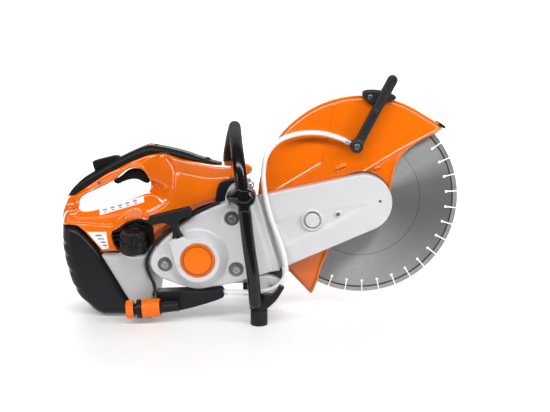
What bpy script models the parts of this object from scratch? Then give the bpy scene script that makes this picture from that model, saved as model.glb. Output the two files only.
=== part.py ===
"""Petrol cut-off saw (rescue saw) with a 350 mm blade, built as separate pieces.

Frame: millimetres in the lists below, metres in the scene. +X points forward to the blade, +Z is up, and
-Y is the side with the recoil starter. The origin is on the ground under the middle of the machine, and
y = 0 is the plane of the blade.
"""

import math

import bmesh
import bpy
from mathutils import Matrix, Vector

MM = 0.001
GAP = 0.3  # clearance between pieces that touch

# Driving dimensions
BLADE_R = 175.0
BLADE_T = 3.0
ARBOR_R = 10.0
SLOTS = 35
SPINDLE = (184.0, 209.0)  # x, z of the blade's axis
CRANK = (-107.0, 114.0)  # x, z of the crankshaft's axis
ENGINE_Y = 10.0  # plane of the cylinder
STROKE = 34.0
BORE_R = 25.0
DRIVE_PULLEY_R = 21.0
WHEEL_PULLEY_R = 41.0
BELT_T = 4.0
BELT_GAP = 0.7
BELT_Y = (-58.0, -48.0)
ARM_Y = (-40.0, -30.0)  # cast arm behind both drive covers
STARTER_FACE_Y = -88.0
BELT_GUARD_FACE_Y = -64.0
GUARD_HALF_WIDTH = 28.0
GUARD_R = 187.0
GUARD_WALL = 2.5
WALL = 3.0
BODY_Y = (-56.0, 72.0)  # the orange housings
GRIP_Y = (-9.0, 25.0)
TANK_Y = (-80.0, 76.0)
BAR_R = 11.5
FOOT_Y = 105.0
FOOT_R = 15.0
FOOT_H = 28.0
HOSE_R = 4.5
CAP_BASE = Vector((-222.0, -70.0, 124.0))
CAP_TILT = math.radians(10)  # the filler neck leans out towards the starter side
PULL_TILT = math.radians(14)  # the starter rope leaves the cover upwards and a little back
ROPE_FOOT = Vector((-140.0, -99.0, 152.0))
LEVER_FOOT = (172.0, 308.0)
LEVER_TOP = (233.0, 425.0)

ORANGE = ("orange_paint", (0.90, 0.22, 0.01), 0.3, 0.0)
WHITE = ("white_casting", (0.82, 0.83, 0.84), 0.45, 0.0)
BLACK = ("black_plastic", (0.02, 0.02, 0.022), 0.55, 0.0)
RUBBER = ("black_rubber", (0.015, 0.015, 0.015), 0.8, 0.0)
GLOSS_BLACK = ("black_gloss", (0.01, 0.01, 0.012), 0.2, 0.0)
STEEL = ("steel", (0.45, 0.46, 0.47), 0.35, 1.0)
ALLOY = ("cast_alloy", (0.55, 0.56, 0.57), 0.5, 1.0)
DARK_METAL = ("dark_metal", (0.08, 0.08, 0.085), 0.5, 0.8)
HOSE_WHITE = ("hose_white", (0.86, 0.87, 0.88), 0.35, 0.0)
SWITCH = ("switch_peach", (0.95, 0.55, 0.25), 0.5, 0.0)
FILTER = ("filter_paper", (0.8, 0.72, 0.5), 0.9, 0.0)


# ---------------------------------------------------------------- modelling helpers


def start_scene():
    for obj in list(bpy.data.objects):
        bpy.data.objects.remove(obj)
    made = []
    for name in ("rescue_saw", "cutters"):
        made.append(bpy.data.collections.new(name))
        bpy.context.scene.collection.children.link(made[-1])
    return made


PARTS, CUTTERS = start_scene()


def finish_of(spec):
    name, colour, roughness, metallic = spec
    found = bpy.data.materials.get(name)
    if found:
        return found
    made = bpy.data.materials.new(name)
    made.use_nodes = True
    shader = made.node_tree.nodes["Principled BSDF"]
    shader.inputs["Base Color"].default_value = (*colour, 1)
    shader.inputs["Roughness"].default_value = roughness
    shader.inputs["Metallic"].default_value = metallic
    made.diffuse_color = (*colour, 1)
    return made


def place(name, mesh, spec, origin):
    """A new object whose mesh is in the machine's frame in millimetres, with its origin where asked."""
    at = Vector(origin)
    mesh.transform(Matrix.Scale(MM, 4) @ Matrix.Translation(-at))
    obj = bpy.data.objects.new(name, mesh)
    obj.location = at * MM
    if spec is None:
        CUTTERS.objects.link(obj)
        obj.hide_render = True
        obj.display_type = "WIRE"
    else:
        mesh.materials.append(finish_of(spec))
        mesh.shade_smooth()
        mesh.set_sharp_from_angle(angle=math.radians(35))
        PARTS.objects.link(obj)
    return obj


def trace(points, detail=3):
    """A closed outline through the points. A third value of 0 makes a point a sharp corner."""
    count = len(points)
    traced = []
    for i, point in enumerate(points):
        a, b = Vector(point[:2]), Vector(points[(i + 1) % count][:2])
        sharp_a, sharp_b = len(point) > 2, len(points[(i + 1) % count]) > 2
        traced.append(a)
        if sharp_a and sharp_b:
            continue
        chord = b - a
        before, after = Vector(points[i - 1][:2]), Vector(points[(i + 2) % count][:2])
        slope_a = chord if sharp_a else (b - before).normalized() * chord.length
        slope_b = chord if sharp_b else (after - a).normalized() * chord.length
        for k in range(1, detail):
            t = k / detail
            h = 2 * t**3 - 3 * t**2 + 1, t**3 - 2 * t**2 + t, 3 * t**2 - 2 * t**3, t**3 - t**2
            traced.append(a * h[0] + slope_a * h[1] + b * h[2] + slope_b * h[3])
    return traced


def clearance(point, outline):
    """The distance from a point to an outline."""
    nearest = 1e9
    for a, b in zip(outline, outline[1:] + outline[:1]):
        along = (b - a) * max(0.0, min(1.0, (point - a).dot(b - a) / (b - a).length_squared))
        nearest = min(nearest, (point - a - along).length)
    return nearest


def inset(outline, distance):
    """The outline moved inwards, or outwards where the distance is negative."""
    area = sum(a.cross(b) for a, b in zip(outline, outline[1:] + outline[:1]))
    side = distance if area > 0 else -distance
    moved = []
    for i, point in enumerate(outline):
        back = (point - outline[i - 1]).normalized()
        on = (outline[(i + 1) % len(outline)] - point).normalized()
        normal = Vector((-back.y - on.y, back.x + on.x)).normalized()
        moved.append(point + normal * side / math.sqrt(max(0.05, (1 + back.dot(on)) / 2)))
    kept = []
    for point in moved:
        clear = clearance(point, outline) > 0.93 * abs(distance)
        if clear and (not kept or (point - kept[-1]).length > 0.15 * abs(distance)):
            kept.append(point)
    if (kept[0] - kept[-1]).length < 0.15 * abs(distance):
        kept.pop()
    return kept


def arc(centre, radius, start, end, steps):
    """Points on a circle, angles in degrees."""
    angles = [math.radians(start + (end - start) * i / steps) for i in range(steps + 1)]
    return [Vector((centre[0] + radius * math.cos(a), centre[1] + radius * math.sin(a))) for a in angles]


def ring(centre, radius, steps=24):
    return arc(centre, radius, 0, 360, steps)[:-1]


def close_mesh(mesh):
    """Joins the caps of a curve's mesh to its sides, with every face looking outwards."""
    edit = bmesh.new()
    edit.from_mesh(mesh)
    bmesh.ops.remove_doubles(edit, verts=edit.verts, dist=0.001)
    bmesh.ops.recalc_face_normals(edit, faces=edit.faces)
    if edit.calc_volume(signed=True) < 0:
        bmesh.ops.reverse_faces(edit, faces=edit.faces)
    edit.to_mesh(mesh)
    edit.free()


def slab_mesh(outlines, y, bevel=0.0, bevel_steps=1):
    """The solid between two y planes inside the first outline and outside the others."""
    curve = bpy.data.curves.new("outline", "CURVE")
    curve.dimensions = "2D"
    curve.fill_mode = "BOTH"
    curve.extrude = (y[1] - y[0]) / 2 - bevel
    curve.bevel_depth = bevel
    curve.bevel_resolution = bevel_steps - 1
    for index, outline in enumerate(outlines):
        edge = inset(outline, bevel if index == 0 else -bevel) if bevel else outline
        spline = curve.splines.new("POLY")
        spline.points.add(len(edge) - 1)
        for target, point in zip(spline.points, edge):
            target.co = (point[0], point[1], 0, 1)
        spline.use_cyclic_u = True
    holder = bpy.data.objects.new("outline", curve)
    holder.matrix_world = Matrix.Translation((0, (y[0] + y[1]) / 2, 0)) @ Matrix.Rotation(math.pi / 2, 4, "X")
    CUTTERS.objects.link(holder)
    bpy.context.view_layer.update()
    mesh = bpy.data.meshes.new_from_object(holder.evaluated_get(bpy.context.evaluated_depsgraph_get()))
    mesh.transform(holder.matrix_world)
    bpy.data.objects.remove(holder)
    bpy.data.curves.remove(curve)
    close_mesh(mesh)
    return mesh


def slab(name, outlines, y, spec, bevel=0.0, bevel_steps=1, origin=None):
    mesh = slab_mesh(outlines, y, bevel, bevel_steps)
    centre = outlines[0][0]
    return place(name, mesh, spec, origin or (centre[0], (y[0] + y[1]) / 2, centre[1]))


def turned(name, profile, base, direction, spec, steps=24, hollow=False):
    """A profile of (radius, distance) points turned about an axis. A hollow one is a closed loop."""
    edit = bmesh.new()
    line = [edit.verts.new((r, 0, t)) for r, t in profile]
    pairs = list(zip(line, line[1:]))
    if hollow:
        pairs.append((line[-1], line[0]))
    edges = [edit.edges.new(pair) for pair in pairs]
    bmesh.ops.spin(
        edit, geom=line + edges, cent=(0, 0, 0), axis=(0, 0, 1), angle=2 * math.pi, steps=steps, use_merge=True
    )
    bmesh.ops.remove_doubles(edit, verts=edit.verts, dist=0.001)
    bmesh.ops.recalc_face_normals(edit, faces=edit.faces)
    turn = Vector(direction).to_track_quat("Z", "Y").to_matrix().to_4x4()
    bmesh.ops.transform(edit, matrix=Matrix.Translation(Vector(base)) @ turn, verts=edit.verts)
    mesh = bpy.data.meshes.new(name)
    edit.to_mesh(mesh)
    edit.free()
    return place(name, mesh, spec, base)


def rod(name, radius, start, end, spec=None, sides=24, end_radius=None):
    """A cylinder, or a cone where it has an end radius, between two points."""
    a, b = Vector(start), Vector(end)
    edit = bmesh.new()
    bmesh.ops.create_cone(
        edit,
        cap_ends=True,
        segments=sides,
        radius1=radius,
        radius2=radius if end_radius is None else end_radius,
        depth=(b - a).length,
    )
    turn = (b - a).to_track_quat("Z", "Y").to_matrix().to_4x4()
    bmesh.ops.transform(edit, matrix=Matrix.Translation((a + b) / 2) @ turn, verts=edit.verts)
    mesh = bpy.data.meshes.new(name)
    edit.to_mesh(mesh)
    edit.free()
    return place(name, mesh, spec, (a + b) / 2)


def block(name, x, y, z, spec=None, bevel=0.0):
    edit = bmesh.new()
    middle = Vector(((x[0] + x[1]) / 2, (y[0] + y[1]) / 2, (z[0] + z[1]) / 2))
    size = Matrix.Diagonal((x[1] - x[0], y[1] - y[0], z[1] - z[0], 1))
    bmesh.ops.create_cube(edit, size=1, matrix=Matrix.Translation(middle) @ size)
    mesh = bpy.data.meshes.new(name)
    edit.to_mesh(mesh)
    edit.free()
    obj = place(name, mesh, spec, middle)
    if bevel:
        edges = obj.modifiers.new("edges", "BEVEL")
        edges.width = bevel * MM
        edges.segments = 2
    return obj


def smooth_path(points, step):
    """Points about a step apart on a smooth curve through the route's own points."""
    route = [Vector(p) for p in points]
    route = [route[0] * 2 - route[1]] + route + [route[-1] * 2 - route[-2]]
    made = []
    for p0, p1, p2, p3 in zip(route, route[1:], route[2:], route[3:]):
        pieces = max(1, round((p2 - p1).length / step))
        length = (p2 - p1).length
        slope1 = (p2 - p0).normalized() * length
        slope2 = (p3 - p1).normalized() * length
        for k in range(pieces):
            t = k / pieces
            h = 2 * t**3 - 3 * t**2 + 1, t**3 - 2 * t**2 + t, 3 * t**2 - 2 * t**3, t**3 - t**2
            made.append(p1 * h[0] + slope1 * h[1] + p2 * h[2] + slope2 * h[3])
    made.append(route[-2])
    return made


def tube(name, points, radius, spec, resolution=2):
    """A round bar or hose along the points, with filled ends."""
    curve = bpy.data.curves.new(name, "CURVE")
    curve.dimensions = "3D"
    curve.bevel_depth = radius
    curve.bevel_resolution = resolution
    curve.use_fill_caps = True
    spline = curve.splines.new("POLY")
    spline.points.add(len(points) - 1)
    for target, point in zip(spline.points, points):
        target.co = (*point, 1)
    holder = bpy.data.objects.new(name, curve)
    CUTTERS.objects.link(holder)
    bpy.context.view_layer.update()
    mesh = bpy.data.meshes.new_from_object(holder.evaluated_get(bpy.context.evaluated_depsgraph_get()))
    bpy.data.objects.remove(holder)
    bpy.data.curves.remove(curve)
    close_mesh(mesh)
    return place(name, mesh, spec, points[0])


def boolean(obj, other, operation):
    change = obj.modifiers.new(operation.lower(), "BOOLEAN")
    change.operation = operation
    change.object = other
    change.solver = "EXACT"


def cut(obj, *cutters):
    for cutter in cutters:
        boolean(obj, cutter, "DIFFERENCE")
    return obj


def join(obj, *others):
    for other in others:
        boolean(obj, other, "UNION")
    return obj


def along_y(name, radius, at, y, spec=None, sides=24):
    """A cylinder parallel to Y between two planes."""
    return rod(name, radius, (at[0], y[0], at[1]), (at[0], y[1], at[1]), spec, sides)


def turned_y(name, profile, at, spec, steps=24, hollow=False):
    """A turned piece on an axis parallel to Y. The profile's distances are y values."""
    return turned(name, profile, (at[0], 0, at[1]), (0, 1, 0), spec, steps, hollow)


# ---------------------------------------------------------------- outlines shared by several pieces

PARTING = [(-157, 217), (-150, 236), (-149, 262), (-156, 276)]  # between rear handle and engine shroud
SPINE = [(-334, 216), (-323, 223), (-299, 239), (-277, 253), (-256, 263), (-235, 274), (-216, 282), (-198, 288)]
SHROUD_TOP = [(-138, 281), (-106, 275), (-83, 271)]
REAR_EDGE = [(-336, 167), (-322, 163), (-298, 139), (-281, 117)]  # where the filter cover meets the handle
TANK_EDGE = [(-259, 81), (-242, 51), (-232, 33)]
COVER_TOP = [
    (-192, 106), (-188, 122), (-178, 137), (-158, 157), (-133, 177), (-113, 191), (-91, 202), (-58, 215), (-38, 219),
]
COVER_BOTTOM = [
    (3, 83), (-29, 74), (-51, 68), (-82, 63), (-111, 62), (-133, 64), (-153, 71), (-176, 81), (-188, 93),
]
COVER_FRONT = [(-1, 219, 0), (37, 90, 0)]
BELT_GUARD_REAR = [(42, 92, 0), (4, 223, 0)]
HAND_HOLE = [
    (-325, 200), (-321, 211), (-312, 217), (-292, 226), (-263, 241), (-251, 251), (-240, 260), (-230, 264),
    (-218, 264), (-208, 258), (-200, 247), (-196, 234), (-198, 223), (-211, 214), (-247, 201), (-289, 188),
    (-306, 185), (-317, 187),
]


def belt_guard_outline():
    nose = arc(SPINDLE, 51, -66, 102, 12)
    return [Vector(BELT_GUARD_REAR[0][:2]), *nose, Vector(BELT_GUARD_REAR[1][:2])]


def starter_outline():
    return trace([*COVER_TOP, *COVER_FRONT, *COVER_BOTTOM], 2)


def belt_loop(offset):
    """The belt's path round both pulleys, at a distance from their grooves."""
    lean = math.atan2(SPINDLE[1] - CRANK[1], SPINDLE[0] - CRANK[0])
    span = math.hypot(SPINDLE[1] - CRANK[1], SPINDLE[0] - CRANK[0])
    spread = math.degrees(math.acos((WHEEL_PULLEY_R - DRIVE_PULLEY_R) / span))
    lean = math.degrees(lean)
    front = arc(SPINDLE, WHEEL_PULLEY_R + offset, lean - spread, lean + spread, 18)
    back = arc(CRANK, DRIVE_PULLEY_R + offset, lean + spread, lean + 360 - spread, 12)
    return front + back


def guard_rim(inwards):
    """The wheel guard's outer edge from its front tip over the top to its rear tip."""
    radius = GUARD_R - inwards
    front_tip = Vector((330, 339)) + Vector((-0.5, -0.87)) * inwards
    rear_tip = Vector((97, 29)) + Vector((0.8, 0.6)) * inwards
    return [front_tip, *arc(SPINDLE, radius, 57, 226, 26), rear_tip]


# ---------------------------------------------------------------- drive line and blade


def build_blade():
    pitch = 360 / SLOTS
    slot_half = math.degrees(1.2 / BLADE_R)
    rim = []
    for i in range(SLOTS):
        start = i * pitch
        rim += arc(SPINDLE, BLADE_R, start + slot_half, start + pitch - slot_half, 2)
        rim += arc(SPINDLE, BLADE_R - 18, start + pitch - slot_half, start + pitch + slot_half, 1)
    half = BLADE_T / 2
    slab("blade", [rim, ring(SPINDLE, ARBOR_R)], (-half, half), STEEL, origin=(SPINDLE[0], 0, SPINDLE[1]))


def build_spindle():
    inner_flange_r = 34
    profile = [
        (0, 22), (9, 22), (9.7, 21), (9.7, -2), (inner_flange_r, -2), (inner_flange_r, -6), (14, -9),
        (ARBOR_R, -9), (ARBOR_R, -60), (0, -60),
    ]
    turned_y("spindle", profile, SPINDLE, STEEL)
    flange = [(ARBOR_R, 2), (34, 2), (34, 5), (16, 8), (ARBOR_R, 8)]
    turned_y("outer_flange", flange[::-1], SPINDLE, STEEL, hollow=True)
    nut = along_y("spindle_nut", 15.5, SPINDLE, (8.3, 17), STEEL, sides=6)
    cut(nut, along_y("nut_bore", ARBOR_R, SPINDLE, (7, 19)))
    bore = ARBOR_R + GAP
    web = [
        (bore, BELT_Y[1]), (44.5, BELT_Y[1]), (44.5, BELT_Y[1] - 1.2), (WHEEL_PULLEY_R, BELT_Y[1] - 1.5),
        (WHEEL_PULLEY_R, BELT_Y[0] + 1.5), (44.5, BELT_Y[0] + 1.2), (44.5, BELT_Y[0]), (bore, BELT_Y[0]),
    ]
    turned_y("wheel_pulley", web, SPINDLE, DARK_METAL, hollow=True)
    races = [(bore, -14), (17.5, -14), (17.5, -36), (bore, -36)]
    turned_y("spindle_bearing", races, SPINDLE, STEEL, hollow=True)


def build_clutch():
    bore = 8 + GAP
    groove = [
        (bore, BELT_Y[1] + 1), (23.5, BELT_Y[1] + 1), (23.5, BELT_Y[1]), (DRIVE_PULLEY_R, BELT_Y[1] - 0.5),
        (DRIVE_PULLEY_R, BELT_Y[0] + 0.5), (23.5, BELT_Y[0]), (23.5, -60), (34, -62), (34, -79), (31, -79),
        (31, -65), (bore, -65),
    ]
    turned_y("clutch_drum", groove, CRANK, STEEL, hollow=True)
    hub = [(bore, -67), (29, -67), (30, -68), (30, -77), (29, -78), (bore, -78)]
    clutch = turned_y("clutch_hub", hub, CRANK, DARK_METAL, steps=18, hollow=True)
    for index in range(3):
        angle = math.radians(90 + 120 * index)
        gap_at = (CRANK[0] + 26 * math.cos(angle), CRANK[1] + 26 * math.sin(angle))
        cut(clutch, along_y(f"shoe_gap_{index}", 4, gap_at, (-80, -65), sides=8))
    belt = [belt_loop(BELT_GAP + BELT_T), belt_loop(BELT_GAP)]
    slab("drive_belt", belt, (BELT_Y[0] + 1.7, BELT_Y[1] - 1.7), RUBBER)


def build_arm():
    """The cast frame that carries the spindle and both drive covers."""
    outline = trace([*COVER_TOP, (-1, 219), (4, 223)], 2)
    outline += arc(SPINDLE, 53, 102, -66, 12)
    outline += trace([(42, 92), (30, 88), *COVER_BOTTOM], 2)
    holes = [ring(CRANK, 12, 16), ring((-75, 158), 11, 12), ring((40, 158), 14, 12)]
    arm = slab("bearing_arm", [outline, *holes], ARM_Y, DARK_METAL)
    join(arm, along_y("bearing_housing", 24, SPINDLE, (-39, -11)))
    cut(arm, along_y("bearing_seat", 17.5 + GAP, SPINDLE, (-37, -5)))
    cut(arm, along_y("spindle_hole", 13, SPINDLE, (-45, -30)))


def belt_window():
    """The way that the belt takes between the two drive covers."""
    outline = [Vector(p) for p in ((-30, 84), (75, 112), (75, 222), (-30, 182))]
    return outline


def build_belt_guard():
    outline = belt_guard_outline()
    guard = slab("belt_guard", [outline], (BELT_GUARD_FACE_Y, ARM_Y[0] - GAP), WHITE, bevel=2.5)
    cut(guard, slab("belt_guard_cavity", [inset(outline, WALL)], (BELT_GUARD_FACE_Y + WALL, ARM_Y[0] + 1), None))
    cut(guard, slab("belt_guard_window", [belt_window()], (-61, ARM_Y[0] + 1), None))
    knob_at = (94, 179)
    join(guard, along_y("tension_seat", 17, knob_at, (-66, -62)))
    cut(guard, along_y("tension_hole", 6.5, knob_at, (-68, -58)))
    knob = [(0, -48), (6, -48), (6, -66.3), (12.5, -66.3), (12.5, -69), (11, -70), (0, -70)]
    turned_y("tension_cap", knob, knob_at, WHITE)


# ---------------------------------------------------------------- recoil starter


def build_starter_cover():
    outline = starter_outline()
    cover = slab("starter_cover", [outline], (-76, ARM_Y[0] - GAP), WHITE)
    front = [(-14, 217, 0), (24, 91, 0)]
    face = trace([*COVER_TOP, *front, *COVER_BOTTOM], 2)
    join(cover, slab("starter_face", [inset(face, 1)], (STARTER_FACE_Y, -72), None, bevel=4))
    join(cover, along_y("starter_boss", 52, CRANK, (-96, -80), sides=28))
    join(cover, along_y("starter_boss_rim", 39, CRANK, (-101, -90)))
    duct = [Vector(p) for p in ((-157, 147.5), (-124, 156), (-96, 160), (-107, 114), (-152, 122))]
    join(cover, slab("rope_duct", [duct], (-106, -80), None))
    cut(cover, slab("starter_cavity", [inset(outline, WALL)], (-74, ARM_Y[0] + 1), None))
    cut(cover, slab("starter_face_cavity", [inset(face, 6)], (STARTER_FACE_Y + WALL, -70), None))
    cut(cover, along_y("starter_boss_cavity", 48, CRANK, (-93, -70), sides=28))
    cut(cover, along_y("starter_spring_cavity", 35, CRANK, (-98, -80)))
    cut(cover, slab("starter_window", [belt_window()], (-63, ARM_Y[0] + 1), None))
    cut(cover, along_y("rim_face", 40, CRANK, (-110, -101)))
    cut(cover, along_y("badge_seat", 31, CRANK, (-105, -99.5)))
    join(cover, along_y("starter_post", 5, CRANK, (-98.5, -81), sides=16))
    for index, at in enumerate(COVER_SCREWS):
        join(cover, along_y(f"screw_boss_{index}", 15.5, at, (-87, -66), sides=16))
        join(cover, along_y(f"screw_column_{index}", 5.5, at, (-70, ARM_Y[0] - GAP), sides=12))
    for index, at in enumerate(COVER_SCREWS):
        cut(cover, along_y(f"screw_pocket_{index}", 12.9, at, (-95, -84), sides=16))
        cut(cover, along_y(f"screw_bore_{index}", 3.4, at, (-90, -30), sides=12))
    pull = pull_direction()
    cut(cover, rod("rope_hole", 3.2, ROPE_FOOT - pull * 20, ROPE_FOOT + pull * 12, sides=12))


COVER_SCREWS = [(-165, 104), (-47, 186), (-40, 95)]


def pull_direction():
    return Vector((-math.sin(PULL_TILT), 0, math.cos(PULL_TILT)))


def build_starter():
    turned_y("starter_badge", [(0, -99.8), (30.5, -99.8), (30.5, -102), (29, -103), (0, -103)], CRANK, ORANGE, 32)
    rotor = [
        (5.4, -82), (34, -82), (34, -84), (27, -85.5), (27, -89.5), (34, -91), (34, -92), (5.4, -92),
    ]
    turned_y("starter_rotor", rotor, CRANK, BLACK, hollow=True)
    turns = 5
    steps_per_turn = 12
    inner, outer = [], []
    for i in range(turns * steps_per_turn + 1):
        angle = 2 * math.pi * i / steps_per_turn
        radius = 8 + 24 * i / (turns * steps_per_turn)
        heading = Vector((math.cos(angle), math.sin(angle)))
        inner.append(Vector(CRANK) + heading * radius)
        outer.append(Vector(CRANK) + heading * (radius + 1.2))
    slab("rewind_spring", [inner + outer[::-1]], (-97, -93), STEEL)
    for index, at in enumerate(COVER_SCREWS):
        head = [
            (0, -45), (3, -45), (3, -84.3), (11, -84.3), (11.5, -85.5), (6.5, -86.2), (6.5, -91), (5.5, -92),
            (0, -92),
        ]
        turned_y(f"cover_screw_{index + 1}", head, at, STEEL, 16)
    build_pull_grip()


def build_pull_grip():
    """The T grip stands on the rope's outlet, its bar square to the rope."""
    pull = pull_direction()
    side = Vector((pull.z, 0, -pull.x))
    foot = ROPE_FOOT + pull * 7

    def at(across, up):
        point = foot + side * across + pull * up
        return (point.x, point.z)

    grip = [
        at(-9, 0), at(9, 0), at(5, 12), at(6, 24), at(12, 32), at(33, 33), at(36, 39), at(33, 46), at(-33, 46),
        at(-37, 39), at(-33, 33), at(-14, 31), at(-6, 24), at(-5, 12),
    ]
    outline = [Vector(p) for p in grip]
    y = ROPE_FOOT.y
    slab("starter_grip", [outline], (y - 7, y + 7), RUBBER, bevel=1.5, origin=tuple(foot))
    rod("starter_rope", 2.2, ROPE_FOOT - pull * 12, ROPE_FOOT + pull * 6.7, BLACK, 8)


# ---------------------------------------------------------------- engine


def build_crankcase():
    front = arc(SPINDLE, 202, 203, 226, 3)
    outline = trace(
        [
            (-168, 122), (-160, 146), (-146, 160, 0), (-62, 160, 0), (-30, 146), *[(p.x, p.y) for p in front],
            (36, 57, 0), (-60, 56), (-107, 56), (-150, 62), (-166, 88),
        ],
        2,
    )
    case = slab("crankcase", [outline], (-29.5, 50), ALLOY)
    cut(case, along_y("crank_chamber", 34, CRANK, (-10, 30)))
    cut(case, along_y("crank_bore", 8 + GAP, CRANK, (-40, 60), sides=16))
    cut(case, rod("case_mouth", BORE_R, (CRANK[0], ENGINE_Y, 120), (CRANK[0], ENGINE_Y, 170)))
    pocket = [Vector(p) for p in ((-48, 140), (0, 118), (14, 72), (-48, 72))]
    cut(case, slab("front_pocket", [pocket], (-20, 60), None))


def build_cylinder():
    """The finned cylinder stands on the crankcase, open at the bottom, with a plug hole in its head."""
    base, top = 160.3, 248
    profile = [(6, top), (20, top), (28, top - 8)]
    fin_pitch = 18
    for index in range(4):
        z = top - 12 - index * fin_pitch
        profile += [(38, z), (38, z - 4), (30, z - 5), (30, z - fin_pitch + 1)]
    profile = profile[:-1] + [(30, base + 5), (36, base + 5), (36, base), (BORE_R + GAP, base)]
    profile += [(BORE_R + GAP, 222), (14, 228), (6, 230)]
    turned("cylinder", profile, (CRANK[0], ENGINE_Y, 0), (0, 0, 1), ALLOY, 16, hollow=True)
    plug = [(0, 261), (5, 261), (5, 257.5), (8, 257), (8, 248.3), (5.5, 248.3), (5.5, 228), (0, 228)]
    turned("spark_plug", plug, (CRANK[0], ENGINE_Y, 0), (0, 0, 1), STEEL, 12)
    crown = 205
    wall = 3.5
    skirt = [
        (0, crown), (BORE_R - 0.8, crown), (BORE_R - 0.8, crown - 34), (BORE_R - wall, crown - 34),
        (BORE_R - wall, crown - 6), (0, crown - 6),
    ]
    turned("piston", skirt, (CRANK[0], ENGINE_Y, 0), (0, 0, 1), ALLOY, 24)


def build_crank():
    pin_z = CRANK[1] + STROKE / 2
    shaft = along_y("crankshaft", 8, CRANK, (-80, 80), STEEL, 16)
    web = [(CRANK[0] - 13, pin_z + 9), (CRANK[0] + 13, pin_z + 9), (CRANK[0] + 20, 96), (CRANK[0], 84), (CRANK[0] - 20, 96)]
    outline = trace(web, 2)
    for index, y in enumerate(((-6, 2), (18, 26))):
        join(shaft, slab(f"crank_web_{index}", [outline], y, None))
    cut(shaft, block("crank_throw", (CRANK[0] - 30, CRANK[0] + 30), (2.3, 17.7), (60, 122.6)))
    join(shaft, along_y("crank_pin", 7, (CRANK[0], pin_z), (1, 19), sides=16))
    rod_top = 187
    big, small = (CRANK[0], pin_z), (CRANK[0], rod_top)
    blade = arc(big, 11, 150, 390, 10) + arc(small, 8.5, 20, 160, 6)
    eyes = [ring(big, 7 + GAP, 16), ring(small, 4, 12)]
    slab("connecting_rod", [blade, *eyes], (5, 15), STEEL)
    flywheel = turned_y(
        "flywheel",
        [(8 + GAP, 76), (20, 76), (22, 64), (46, 62), (46, 56), (8 + GAP, 54)],
        CRANK,
        ALLOY,
        hollow=True,
    )
    for index in range(8):
        angle = math.radians(45 * index)
        heading = Vector((math.cos(angle), 0, math.sin(angle)))
        side = Vector((-heading.z, 0, heading.x))
        centre = Vector((CRANK[0], 0, CRANK[1]))
        corners = [centre + heading * r + side * s for r, s in ((24, -1.5), (45, 5.5), (45, 8.5), (24, 1.5))]
        vane = [Vector((c.x, c.z)) for c in corners]
        join(flywheel, slab(f"fan_vane_{index}", [vane], (60, 76), None))


def fan_shape():
    return trace(
        [
            (-186, 116), (-176, 152), (-146, 178), (-107, 186), (-66, 178), (-34, 152), (-24, 114), (-36, 80),
            (-70, 58), (-107, 54), (-146, 60), (-176, 82),
        ],
        2,
    )


def build_engine_extras():
    muffler = block("muffler", (-58, -15), (-24, 48), (172, 238), DARK_METAL, bevel=5)
    cut(muffler, block("muffler_inside", (-55, -18), (-21, 45), (175, 235)))
    cut(muffler, rod("exhaust_in", 9, (-70, ENGINE_Y, 205), (-50, ENGINE_Y, 205), sides=16))
    cut(muffler, rod("exhaust_out", 6, (-35, 40, 200), (-35, 60, 200), sides=12))
    carb = block("carburetor", (-186, -160), (-6, 26), (152, 183), ALLOY, bevel=2)
    join(carb, rod("intake_stub", 9, (-162, ENGINE_Y, 170), (-145.6, ENGINE_Y, 170), sides=16))
    cut(carb, rod("venturi", 6, (-190, ENGINE_Y, 170), (-140, ENGINE_Y, 170), sides=16))
    fan_outline = fan_shape()
    cover = slab("fan_cover", [fan_outline], (51, 98), WHITE, bevel=6, bevel_steps=2)
    cut(cover, slab("fan_cavity", [inset(fan_outline, WALL)], (49, 95), None))
    for index in range(12):
        angle = math.radians(30 * index)
        reach = [Vector((math.cos(angle) * r, math.sin(angle) * r)) for r in (22, 50)]
        ends = [(CRANK[0] + p.x, CRANK[1] + p.y) for p in reach]
        along = (Vector(ends[1]) - Vector(ends[0])).normalized()
        side = Vector((-along.y, along.x)) * 3
        slot = [Vector(ends[0]) - side, Vector(ends[1]) - side, Vector(ends[1]) + side, Vector(ends[0]) + side]
        cut(cover, slab(f"fan_slot_{index}", [slot], (90, 104), None))


# ---------------------------------------------------------------- housings, handle and tank


def build_rear_handle():
    loop = trace(
        [
            (-357, 168, 0), (-356, 182), (-352, 198), (-345, 211), *SPINE, (-172, 291, 0), *PARTING[::-1],
            (-171, 201), (-197, 187, 0), (-197, 150, 0), (-320, 150, 0), (-350, 168, 0),
        ],
        2,
    )
    handle = slab("rear_handle", [loop, trace(HAND_HOLE, 2)], GRIP_Y, ORANGE, bevel=4)
    wide = trace(
        [
            (-357, 168, 0), (-353, 184), (-342, 193), (-300, 189), (-262, 196), (-205, 210), (-182, 214),
            (-160, 218, 0), (-174, 202, 0), (-197, 188, 0), (-197, 122, 0), (-279, 119, 0), (-297, 141),
            (-320, 165), (-336, 168, 0),
        ],
        2,
    )
    join(handle, slab("handle_base", [wide], BODY_Y, None, bevel=6))
    inside = [Vector(p) for p in ((-325, 176), (-300, 179), (-262, 186), (-215, 198), (-201, 186), (-201, 100), (-270, 100))]
    cut(handle, slab("handle_inside", [inside], (BODY_Y[0] + WALL, BODY_Y[1] - WALL), None))
    throttle_slot = [Vector(p) for p in (
        (-269, 232), (-269, 252), (-243, 268), (-225, 270), (-205, 267), (-196, 252), (-196, 230))]
    cut(handle, slab("throttle_slot", [throttle_slot], (0, 16), None))
    cut(handle, slab("surround_seat", [inset(surround_outline(), -0.5)], (-70, -35.5), None))
    cut(handle, rod("cap_way", 24.5, CAP_BASE - cap_axis() * 20, CAP_BASE + cap_axis() * 110))


def surround_outline():
    return trace(
        [
            (-261, 155), (-251, 161), (-236, 171), (-217, 177), (-202, 177), (-193, 173), (-189, 163), (-189, 148),
            (-192, 131), (-200, 124, 0), (-252, 124, 0), (-259, 138),
        ],
        2,
    )


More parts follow.
